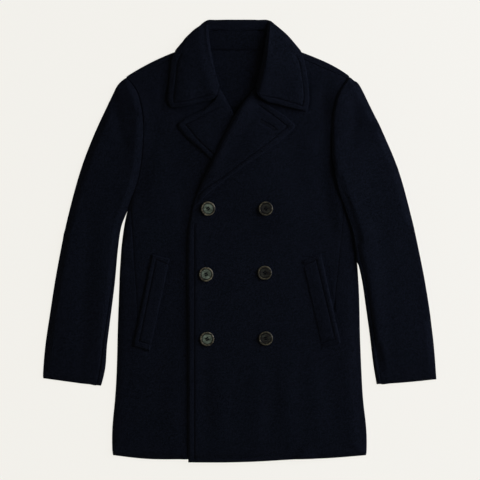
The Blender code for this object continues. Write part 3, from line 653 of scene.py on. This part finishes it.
def sinkLapel(points, roll):
    # lets the upper lapel fall sooner beside its roll, and sinks the roll
    away = awayFrom(curveThrough(roll), points[:, :2])
    upward, sunkUpward = (ease((points[:, 1] - low) / (high - low))
                          for low, high in (lapelFall["level"], lapelFall["sunkLevel"]))
    made, worn = (1 - ease((away - near) / far) for near, far in (lapelFall["made"], lapelFall["worn"]))
    points[:, 2] -= lapelFall["height"] * upward * (made - worn)
    points[:, 2] -= lapelFall["sunk"] * sunkUpward * (1 - ease(away / lapelFall["sunkReach"]))


def softenRolls(piece, name):
    *lines, reach, drop, (rollLow, rollHigh) = rolls[name]
    points = pointsOf(piece)
    if name == "leftLapel":
        sinkLapel(points, lines[0])
    for number, line in enumerate(lines):
        away, side, _, _ = nearestOn(curveThrough(line), points[:, :2])
        share = np.clip(1 - away / reach, 0, 1) ** 2
        points[:, 2] -= drop * share * ease((points[:, 2] - rollLow) / (rollHigh - rollLow))
        if name == "turnedCollar":
            place, near, far, rise = collarCrest[number]
            width = np.where(away < place, near, far)
            outward = side == (-1, 1)[number]
            points[:, 2] += rise * outward * np.exp(-((away - place) / width) ** 2) * ease(away / place)
    movePoints(piece, points)


def nudge(piece, spot, push, reach):
    # shifts the cloth round one spot, fading out
    points = pointsOf(piece)
    away = np.hypot(points[:, 0] - spot[0], points[:, 1] - spot[1])
    points[:, :2] += np.array(push) * (1 - ease(away / reach))[:, None]
    movePoints(piece, points)


def settleEnd(piece, carrier):
    # the lower end of the upper lapel lies down on the front and merges with it
    surface = surfaceUnder(carrier)
    points, normals = pointsOf(piece), normalsOf(piece)
    away = np.hypot(points[:, 0] - settled["place"][0], points[:, 1] - settled["place"][1])
    for index in np.flatnonzero(away < settled["reach"][1]):
        x, y, z = points[index]
        ground = dropOnto(surface, x * mm, y * mm)[0]
        if ground is not None:
            near, far = settled["reach"]
            share = 1 - ease((away[index] - near) / (far - near))
            lying = ground.z / mm + settled["above" if normals[index, 2] > 0 else "below"]
            points[index, 2] += (lying - z) * share
    movePoints(piece, points)


def shiftFrontEdge(piece):
    # the overlapping front's edge below the lapel, a little further over
    points = pointsOf(piece)
    inward = ease((points[:, 0] - frontShift["edge"]) / frontShift["reach"])
    upward = ease((points[:, 1] - frontShift["top"]) / frontShift["reach"])
    points[:, 0] -= frontShift["by"] * (1 - inward) * (1 - upward)
    movePoints(piece, points)


def pressEdges(piece, edges):
    points, normals = pointsOf(piece), normalsOf(piece)
    outer = outerSide(normals)
    for edge in edges:
        away = awayFrom(edge, points[:, :2])
        points[:, 2] -= press["depth"] * outer * np.exp(-(away / press["width"]) ** 2)
    movePoints(piece, points)


def tiltWelt(piece):
    # the welt comes up out of the seam along one edge and stands higher at the other
    points, normals = pointsOf(piece), normalsOf(piece)
    away = awayFrom(weltTilt["edge"], points[:, :2])
    tilt = weltTilt["rise"] * ease(away / weltTilt["reach"])
    tilt = tilt - weltTilt["drop"] * (1 - ease(away / weltTilt["near"]))
    points[:, 2] += tilt * overTheEdge(normals)
    movePoints(piece, points)


def collarLift(places):
    # only the fall's lower part lies on the raised fronts
    return bodyLift(places) * (1 - ease((places[:, 1] - collarRest[0]) / collarRest[1]))


# press the panels into place and draw the seams shut, then sew
liftPiece(panels["turnedCollar"], collarLift)
for name in ("turnedCollar", "rightLapel", "leftLapel"):
    softenRolls(panels[name], name)
for name, edges in pressedUnder.items():
    pressEdges(panels[name], edges)
settleEnd(panels["leftLapel"], panels["leftFront"])
for name, spot, push, reach in nudges:
    nudge(panels[name], spot, push, reach)
shiftFrontEdge(panels["leftFront"])
tiltWelt(panels["leftWelt"])
for side in sides:
    closeSeam(panels[side + "TopSleeve"], panels[side + "Front"], bottom=60)
    closeSeam(panels[side + "Front"], backPanel, bottom=330)
    closeSeam(panels[side + "Lapel"], panels["turnedCollar"], bottom=270)
for name in onTheBody + ("rightTopSleeve", "leftTopSleeve"):
    roundEdge(panels[name])
for side in sides:
    roundEdge(panels[side + "UnderSleeve"], radius=7.0, drop=1.6)

print("sewing")
stitchOne = stitchShape()
for name, panel in panels.items():
    if name == "backPanel":
        continue
    lines = sewInto(panel, name)
    if lines:
        threads[name] = stitchesAlong(name + "Topstitch", panel, lines)
buttonholeBead = workButtonhole("lapelButtonhole", panels["leftLapel"])
print("stitched pieces:", len(threads))


button = {
    "radius": 14.0,  # in mm
    "height": 3.2,
    "sides": 64,
    # rings of the face from outside in: how wide and how far up or down
    "steps": ((0.9, 0.6), (1.5, 0.15), (0.5, -1.5), (0.9, 0.0), (0.5, 0.9), (2.4, -0.3), (3.2, -0.4)),
    "bevel": 0.28, "bevelAngle": 25, "smoothAngle": 32,
    "holeRadius": 1.3, "holeSides": 24, "drill": 20.0,
    "holeSpread": 2.9,  # from the middle to each of the four holes
    "stand": 0.25,  # clear of the cloth
    "feel": (0, 8, 14), "feelers": 12,  # the cloth is felt out this far from the middle
}
buttonTurns = (38, 52, 20, 40, 30, 8)  # how far each is turned, in degrees
buttonThread = {
    "radius": 0.36,
    "beside": (-1.2, 0.0, 1.2),  # strands side by side, in their radii
    "dish": 0.95,  # the face at the holes lies this far below the button's height
    "foot": 0.4,
    "heights": (-0.2, 0.35, 0.62),  # over that face: in the hole, at its lip, between the holes
    "lip": 0.85,
    "spill": 0.1,
    "shank": (2.1, 0.15, 0.02),  # radius of the turns under the button, first height, rise
    "shankTurn": 25, "shankSteps": 90,
}


def makeButton():
    selectNone()
    bpy.ops.mesh.primitive_cylinder_add(vertices=button["sides"], radius=button["radius"] * mm,
                                        depth=button["height"] * mm,
                                        location=(0, 0, button["height"] / 2 * mm))
    made = bpy.context.active_object
    bpy.ops.object.transform_apply(location=True, rotation=True, scale=True)
    bpy.ops.object.mode_set(mode="EDIT")
    bpy.ops.mesh.select_mode(type="FACE")
    bpy.ops.mesh.select_all(action="DESELECT")
    disc = bmesh.from_edit_mesh(made.data)
    top = max(disc.faces, key=lambda face: face.calc_center_median().z * (len(face.verts) > 4))
    top.select_set(True)
    bmesh.update_edit_mesh(made.data)
    for width, depth in button["steps"]:
        bpy.ops.mesh.inset(thickness=width * mm, depth=depth * mm)
    editDone()
    soften = made.modifiers.new("soften", "BEVEL")
    soften.width, soften.segments, soften.limit_method = button["bevel"] * mm, 3, "ANGLE"
    soften.angle_limit = math.radians(button["bevelAngle"])
    bpy.ops.object.modifier_apply(modifier=soften.name)
    for place in range(4):
        turn = math.pi * (0.25 + 0.5 * place)
        spread = button["holeSpread"] * mm
        selectNone()
        bpy.ops.mesh.primitive_cylinder_add(
            vertices=button["holeSides"], radius=button["holeRadius"] * mm, depth=button["drill"] * mm,
            location=(spread * math.cos(turn), spread * math.sin(turn), 0))
        drill = bpy.context.active_object
        selectOnly(made)
        cut = made.modifiers.new("hole", "BOOLEAN")
        cut.object, cut.solver = drill, "EXACT"
        bpy.ops.object.modifier_apply(modifier=cut.name)
        bpy.data.objects.remove(drill)
    selectOnly(made)
    bpy.ops.object.shade_smooth_by_angle(angle=math.radians(button["smoothAngle"]))
    dropMaps(made.data)
    turned = made.data.uv_layers.new(name="turned")  # places on the button, from its centre
    for loop, mapped in zip(made.data.loops, turned.data):
        mapped.uv = made.data.vertices[loop.vertex_index].co.xy
    return made


def threadBar(points, radius):
    # a short strand of sewing thread through the given places, in mm
    curve = bpy.data.curves.new("strand", "CURVE")
    curve.dimensions = "3D"
    strand = curve.splines.new("POLY")
    strand.points.add(len(points) - 1)
    for spot, point in zip(strand.points, points):
        spot.co = (*[value * mm for value in point], 1.0)
    curve.bevel_depth, curve.bevel_resolution, curve.use_fill_caps = radius * mm, 2, True
    selectOnly(put("strand", curve))
    bpy.ops.object.convert(target="MESH")
    return bpy.context.active_object


def makeButtonThread():
    spread, radius = button["holeSpread"] / math.sqrt(2), buttonThread["radius"]
    face = button["height"] - buttonThread["dish"]
    inHole, atLip, between = (face + height for height in buttonThread["heights"])
    half = [(spread, buttonThread["foot"]), (spread, inHole), (spread * buttonThread["lip"], atLip)]
    strands = []
    for side in (-1, 1):
        for shift in buttonThread["beside"]:
            y = side * spread + shift * radius
            path = [(-x, y, z) for x, z in half]
            path += [(0, y + shift * buttonThread["spill"], between)]
            path += [(x, y, z) for x, z in reversed(half)]
            strands.append(threadBar(curveThrough(path, steps=5).tolist(), radius))
    around, foot, rise = buttonThread["shank"]
    shank = [(around * math.cos(turn), around * math.sin(turn), foot + rise * turn)
             for turn in np.linspace(0, buttonThread["shankTurn"], buttonThread["shankSteps"])]
    strands.append(threadBar(shank, radius))
    selectNone()
    for strand in strands:
        strand.select_set(True)
    bpy.context.view_layer.objects.active = strands[0]
    bpy.ops.object.join()
    made = bpy.context.active_object
    made.data.shade_smooth()
    return made


print("buttons")
buttonOne, threadOne = makeButton(), makeButtonThread()
buttonPieces, buttonThreads = [], []
frontSurface = surfaceUnder(panels["leftFront"])
for number in range(1, 7):
    low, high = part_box("button_%d" % number)
    middle = (low + high) / 2
    turns = np.linspace(0, 2 * math.pi, button["feelers"], endpoint=False)
    felt = [dropOnto(frontSurface, middle.x + radius * mm * math.cos(turn),
                     middle.y + radius * mm * math.sin(turn))[0].z
            for radius in button["feel"] for turn in turns]
    height = max(felt) + button["stand"] * mm
    place = Matrix.Translation((middle.x, middle.y, height)) @ Matrix.Rotation(
        math.radians(buttonTurns[number - 1]), 4, "Z")
    for source, kept, name in ((buttonOne, buttonPieces, "button%d" % number),
                               (threadOne, buttonThreads, "button%dThread" % number)):
        piece = put(name, source.data.copy())
        piece.data.transform(place)
        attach(piece, "root")
        kept.append(piece)
    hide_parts("button_%d" % number)
bpy.data.objects.remove(buttonOne)
bpy.data.objects.remove(threadOne)


class Signal:
    # a shader value that takes part in plain arithmetic
    def __init__(self, paint, socket):
        self.paint, self.socket = paint, socket

    def reckon(self, operation, first, second):
        return Signal(self.paint, self.paint.node("ShaderNodeMath", {"operation": operation},
                                                  {0: first, 1: second}).outputs[0])

    def __add__(self, other):
        return self.reckon("ADD", self, other)

    def __radd__(self, other):
        return self.reckon("ADD", other, self)

    def __sub__(self, other):
        return self.reckon("SUBTRACT", self, other)

    def __rsub__(self, other):
        return self.reckon("SUBTRACT", other, self)

    def __mul__(self, other):
        return self.reckon("MULTIPLY", self, other)

    def __rmul__(self, other):
        return self.reckon("MULTIPLY", other, self)

    def __pow__(self, other):
        return self.reckon("POWER", self, other)


class Paint:
    # one material and the nodes it is made of
    def __init__(self, name):
        self.material = bpy.data.materials.new(name)
        self.material.use_nodes = True
        self.tree = self.material.node_tree
        self.shader = self.tree.nodes["Principled BSDF"]
        self.place = self.node("ShaderNodeTexCoord").outputs["Object"]

    def node(self, kind, settings=None, inputs=None):
        made = self.tree.nodes.new(kind)
        for name, value in (settings or {}).items():
            if name == "stops":
                for index, (place, colour) in enumerate(value):
                    stops = made.color_ramp.elements
                    stop = stops[index] if index < 2 else stops.new(place)
                    stop.position, stop.color = place, colour
            else:
                setattr(made, name, value)
        for name, value in (inputs or {}).items():
            self.feed(made.inputs[name], value)
        return made

    def feed(self, socket, value):
        if isinstance(value, Signal):
            value = value.socket
        if isinstance(value, bpy.types.NodeSocket):
            self.tree.links.new(value, socket)
        else:
            socket.default_value = value

    def signal(self, kind, settings=None, inputs=None):
        return Signal(self, self.node(kind, settings, inputs).outputs[0])

    def stepped(self, value, low, high, start=0.0, end=1.0):
        # eases from start to end while the value runs from low to high
        return self.signal("ShaderNodeMapRange", {"interpolation_type": "SMOOTHSTEP"}, {
            "Value": value, "From Min": low, "From Max": high, "To Min": start, "To Max": end})

    def between(self, share, first, second, how="MIX"):
        return self.node("ShaderNodeMix", {"data_type": "RGBA", "blend_type": how},
                         {0: share, 6: first, 7: second}).outputs[2]

    def shaded(self, colour, shade):
        grey = self.node("ShaderNodeCombineColor", {}, {0: shade, 1: shade, 2: shade}).outputs[0]
        return self.between(1.0, colour, grey, "MULTIPLY")

    def turned(self, **how):
        return self.node("ShaderNodeMapping", {}, {"Vector": self.place, **how}).outputs[0]

    def noise(self, how, place=None):
        return self.signal("ShaderNodeTexNoise", {}, {"Vector": place or self.place, **how})

    def inMap(self, name):
        # a map's two values, in mm
        both = self.node("ShaderNodeSeparateXYZ", {}, {
            0: self.node("ShaderNodeUVMap", {"uv_map": name}).outputs[0]})
        return [Signal(self, both.outputs[axis]) * (1 / mm) for axis in (0, 1)]

    def bumped(self, height, strength, distance):
        return self.node("ShaderNodeBump", {}, {"Height": height, "Strength": strength,
                                                "Distance": distance * mm}).outputs[0]

    def finish(self, fixed, linked):
        for name, value in fixed.items():
            self.shader.inputs[name].default_value = value
        for name, value in linked.items():
            self.feed(self.shader.inputs[name], value)
        return self.material


def toned(colour, tone):
    return [value * tone for value in colour[:3]] + [1]


melton = {
    "dark": (0.0007, 0.0010, 0.0016),
    "light": (0.0060, 0.0072, 0.0112),
    "fleck": (0.013, 0.016, 0.024, 1),
    "flecked": (0.66, 0.80),  # hairs of these values turn into pale flecks
    "fleckShare": 0.5,
    "felt": {"Scale": 490.0, "Detail": 2.0, "Roughness": 0.7},
    "nap": {"Scale": 1500.0, "Detail": 2.0},
    "hairs": {"Scale": 2600.0, "Detail": 3.0, "Roughness": 0.8, "Distortion": 1.2},
    "cloud": {"Scale": 38.0, "Detail": 3.0},
    "drift": {"Scale": 9.0, "Detail": 2.0},
    "feltTurn": (0.62, 0.47, 0.35),
    "hairLie": (1.0, 0.22, 1.0),
    "tone": (3.6, 0.10, 0.10, 2.2, -2.52),  # felt, cloud, drift and nap in the colour, and a base
    "relief": (0.5, 0.5, 0.25),  # felt, hairs and nap in the height
    "groove": (1.5, 0.5, 0.5),  # beside topstitching: width in mm, painted shade in the groove, height
    "crease": (1.0, 0.6, 0.8),  # beside a flat seam: width, painted shade in the crease, height
    "bump": (0.55, 0.7),
    "rough": (0.90, 0.08),
    "fixed": {"Metallic": 0.0, "Specular IOR Level": 0.02, "Sheen Weight": 0.02,
              "Sheen Roughness": 0.45, "Sheen Tint": (0.45, 0.55, 0.85, 1)},
}
twine = {
    "dark": (0.0010, 0.0012, 0.0018),
    "light": (0.0022, 0.0027, 0.0042),
    "twist": {"Scale": 900.0, "Distortion": 1.5, "Detail": 1.0},
    "bump": (0.4, 0.1),
    "rough": (0.7, 0.15),
    "fixed": {"Specular IOR Level": 0.05},
}
shell = {
    # distances from the middle or from a hole, in mm
    "rim": (10.5, 11.2),  # where the brassy rim begins
    "groove": (9.0, 10.3, 11.5),  # where the groove's painted grime and shade starts, lies thickest and ends
    "grimeAndShade": 0.92,
    "holeShade": (0.9, 1.9),
    "holeLight": 0.06,  # light that is left in a hole
    "middleShade": 6.4,
    "middleLight": 0.25,
    "smoke": {"Scale": 90.0, "Detail": 5.0, "Roughness": 0.6, "Distortion": 1.6},
    "smokeLie": (1.0, 2.4, 1.0),
    "smokeStops": (0.30, 0.50, 0.70),
    "fine": {"Scale": 700.0, "Detail": 3.0},
    "rings": (3.3, 0.035),
    "brassFine": 0.3,
    "brassed": (0.52, 0.92),
    "relief": (0.6, 0.4),
    "bump": (0.12, 0.2),
    "rough": (0.36, 0.14),
    "fixed": {"Specular IOR Level": 0.14, "Coat Weight": 0.03, "Coat Roughness": 0.2},
}
shellTones = {
    # smoke dark, middling and pale, where the pale patches also paint the shell's sheen, then the rim's
    # brass worn and bright
    "pale": ((0.022, 0.028, 0.019, 1), (0.068, 0.084, 0.056, 1), (0.16, 0.19, 0.13, 1),
             (0.012, 0.0102, 0.0054, 1), (0.19, 0.17, 0.105, 1)),
    "dark": ((0.0028, 0.0024, 0.0018, 1), (0.0072, 0.0062, 0.0046, 1), (0.034, 0.040, 0.026, 1),
             (0.008, 0.0068, 0.0036, 1), (0.105, 0.092, 0.054, 1)),
}
# the facing's tone is painted shade: a darker copy of the same melton for the hollow of the neck
# between the collar's rolls
clothTones = {"facing": 0.86, "buttonhole": 2.6}


def meltonWool(name, tone=1.0):
    paint = Paint(name)
    turned, lie = paint.turned(Rotation=melton["feltTurn"]), paint.turned(Scale=melton["hairLie"])
    felt, nap = paint.noise(melton["felt"], turned), paint.noise(melton["nap"], turned)
    hairs = paint.noise(melton["hairs"], lie)
    cloud, drift = paint.noise(melton["cloud"]), paint.noise(melton["drift"])
    inFelt, inCloud, inDrift, inNap, base = melton["tone"]
    mix = felt * inFelt + cloud * inCloud + drift * inDrift + nap * inNap + base
    colour = paint.between(mix, toned(melton["dark"], tone), toned(melton["light"], tone))
    specks = paint.stepped(hairs, *melton["flecked"])
    colour = paint.between(specks * melton["fleckShare"], colour, melton["fleck"])
    toStitch, toSeam = paint.inMap("sewing")
    (wide, dark, deep), (seamWide, seamPaintedShade, seamDeep) = melton["groove"], melton["crease"]
    groove = paint.stepped(toStitch, 0.0, wide, 1.0, 0.0)
    crease = paint.stepped(toSeam, 0.0, seamWide, 1.0, 0.0)
    # painted shade: the cloth's colour is darkened in the grooves beside the topstitching and along the
    # flat seams
    colour = paint.shaded(colour, 1.0 - (groove * dark + crease * seamPaintedShade))
    inFelt, inHairs, inNap = melton["relief"]
    height = felt * inFelt + hairs * inHairs + nap * inNap - groove * deep - crease * seamDeep
    rough, rougher = melton["rough"]
    return paint.finish(melton["fixed"], {"Base Color": colour, "Roughness": rough + felt * rougher,
                                          "Normal": paint.bumped(height, *melton["bump"])})


def sewingThread(name, tone=1.0):
    paint = Paint(name)
    twist = paint.signal("ShaderNodeTexWave", {"bands_direction": "DIAGONAL"},
                         {"Vector": paint.place, **twine["twist"]})
    rough, rougher = twine["rough"]
    colour = paint.between(twist, toned(twine["dark"], tone), toned(twine["light"], tone))
    return paint.finish(twine["fixed"], {"Base Color": colour, "Roughness": rough + twist * rougher,
                                         "Normal": paint.bumped(twist, *twine["bump"])})


def smokedShell(name, tones):
    paint = Paint(name)
    dark, middling, pale, worn, bright = tones
    across, up = paint.inMap("turned")
    radius = (across * across + up * up) ** 0.5
    smoke = paint.noise(shell["smoke"], paint.turned(Scale=shell["smokeLie"]))
    fine = paint.noise(shell["fine"])
    perMm, ringShare = shell["rings"]
    rings = paint.signal("ShaderNodeMath", {"operation": "SINE"}, {0: radius * perMm})
    first, middle, last = shell["smokeStops"]
    stops = ((first, dark), (last, pale), (middle, middling))
    ringed = smoke + rings * ringShare
    # the smoky mottling is partly the shell's own colour and partly a painted sheen
    smokeAndSheen = paint.node("ShaderNodeValToRGB", {"stops": stops}, {0: ringed}).outputs[0]
    brassed = paint.stepped(smoke + fine * shell["brassFine"], *shell["brassed"])
    brass = paint.between(brassed, worn, bright)
    colour = paint.between(paint.stepped(radius, *shell["rim"]), smokeAndSheen, brass)
    start, thickest, end = shell["groove"]
    grimeAndShade = paint.stepped(radius, start, thickest) * (1.0 - paint.stepped(radius, thickest, end))
    spread = button["holeSpread"] / math.sqrt(2)
    besideX, besideY = (paint.signal("ShaderNodeMath", {"operation": "ABSOLUTE"}, {0: value}) - spread
                        for value in (across, up))
    fromHole = (besideX * besideX + besideY * besideY) ** 0.5
    # painted shade: darker in the groove under the rim (partly grime, partly shade), round the holes
    # and towards the middle
    shade = 1.0 - grimeAndShade * shell["grimeAndShade"]
    shade = shade * paint.stepped(fromHole, *shell["holeShade"], shell["holeLight"])
    shade = shade * paint.stepped(radius, 0.0, shell["middleShade"], shell["middleLight"])
    (inSmoke, inFine), (rough, rougher) = shell["relief"], shell["rough"]
    bump = paint.bumped(smoke * inSmoke + fine * inFine, *shell["bump"])
    return paint.finish(shell["fixed"], {"Base Color": paint.shaded(colour, shade),
                                         "Roughness": rough + fine * rougher, "Normal": bump})


print("materials")
# the neck facing gets the darker copy of the wool, painted shade in the neck's hollow
wool, facingWoolShaded = meltonWool("navyMelton"), meltonWool("innerMeltonShaded", clothTones["facing"])
threadMaterial = sewingThread("sewingThread")
shells = (smokedShell("paleShell", shellTones["pale"]), smokedShell("darkShell", shellTones["dark"]))
for name, panel in panels.items():
    panel.data.materials.append(facingWoolShaded if name == "neckFacing" else wool)
for piece in list(threads.values()) + buttonThreads:
    piece.data.materials.append(threadMaterial)
buttonholeBead.data.materials.append(sewingThread("buttonholeTwist", clothTones["buttonhole"]))
for number, piece in enumerate(buttonPieces):
    piece.data.materials.clear()
    piece.data.materials.append(shells[number % 2])

# flat cuts: width and length in metres, area in square metres, and what each lies on
cuts = {
    "backPanel": (0.51, 0.86, 0.386, []),
    "rightFront": (0.35, 0.83, 0.235, ["backPanel"]),
    "leftFront": (0.36, 0.83, 0.24, ["backPanel", "rightFront"]),
    "rightLapel": (0.21, 0.25, 0.0175, ["rightFront"]),
    "leftLapel": (0.21, 0.25, 0.0185, ["leftFront"]),
    "turnedCollar": (0.62, 0.16, 0.052, ["rightFront", "leftFront", "backPanel"]),
    "neckFacing": (0.125, 0.045, 0.0048, ["backPanel"]),
    "rightWelt": (0.04, 0.19, 0.0067, ["rightFront"]),
    "leftWelt": (0.042, 0.19, 0.0073, ["leftFront"]),
    "rightTopSleeve": (0.20, 0.62, 0.068, ["rightUnderSleeve"]),
    "leftTopSleeve": (0.21, 0.62, 0.071, ["leftUnderSleeve"]),
    "rightUnderSleeve": (0.20, 0.62, 0.075, []),
    "leftUnderSleeve": (0.21, 0.62, 0.078, ["leftFront"]),
}
for name, (width, length, area, under) in cuts.items():
    sewn = [threads[name]] if name in threads else []
    if name == "leftLapel":
        sewn.append(buttonholeBead)


stage = {
    "floorSize": 9.0, "floorLevel": -0.0003, "floorGrain": 6.0, "floorTones": (1.0, 1.01),
    "floor": (0.060, 0.060, 0.057), "glow": (0.850, 0.834, 0.788),
    "key": (2.56, 0.93, 1.30), "keySize": 2.3, "keyPower": 134.0, "keyTint": (0.86, 0.94, 1.22),
    "low": (-1.95, -2.15, 0.75), "lowSize": 1.5, "lowPower": 14.0, "lowTint": (0.97, 0.96, 0.92),
    "fill": 0.28, "fillTint": (1.0, 0.93, 0.82, 1),
    "eye": (0.4 * mm, 1.4 * mm, 4.005), "lens": 150.0, "film": 36.0, "clip": 0.05,
}


def makeStage():
    selectNone()
    bpy.ops.mesh.primitive_plane_add(size=stage["floorSize"], location=(0, 0, stage["floorLevel"]))
    floor = bpy.context.active_object
    floor.name = "floor"
    paint = Paint("paleFloor")
    grain = paint.noise({"Scale": stage["floorGrain"], "Detail": 2.0})
    colour = paint.between(grain, *(toned(stage["floor"], tone) for tone in stage["floorTones"]))
    floor.data.materials.append(paint.finish(
        {"Specular IOR Level": 0.0, "Roughness": 1.0, "Emission Color": (*stage["glow"], 1),
         "Emission Strength": 1.0}, {"Base Color": colour}))
    for name in ("key", "low"):
        lamp = bpy.data.lights.new(name + "Light", "AREA")
        lamp.shape, lamp.size, lamp.energy = "SQUARE", stage[name + "Size"], stage[name + "Power"]
        lamp.color = stage[name + "Tint"]
        light = put(name + "Light", lamp)
        light.location = stage[name]
        light.rotation_euler = (-Vector(stage[name])).to_track_quat("-Z", "Y").to_euler()
    sky = bpy.data.worlds.new("softFill")
    sky.use_nodes = True
    sky.node_tree.nodes["Background"].inputs["Color"].default_value = stage["fillTint"]
    sky.node_tree.nodes["Background"].inputs["Strength"].default_value = stage["fill"]
    bpy.context.scene.world = sky
    bpy.context.scene.view_settings.view_transform = "Standard"


def makeCamera():
    view = bpy.data.cameras.new("aboveCoat")
    view.lens, view.sensor_width, view.clip_start = stage["lens"], stage["film"], stage["clip"]
    camera = put("aboveCoat", view)
    camera.location = stage["eye"]
    bpy.context.scene.camera = camera


makeStage()
makeCamera()
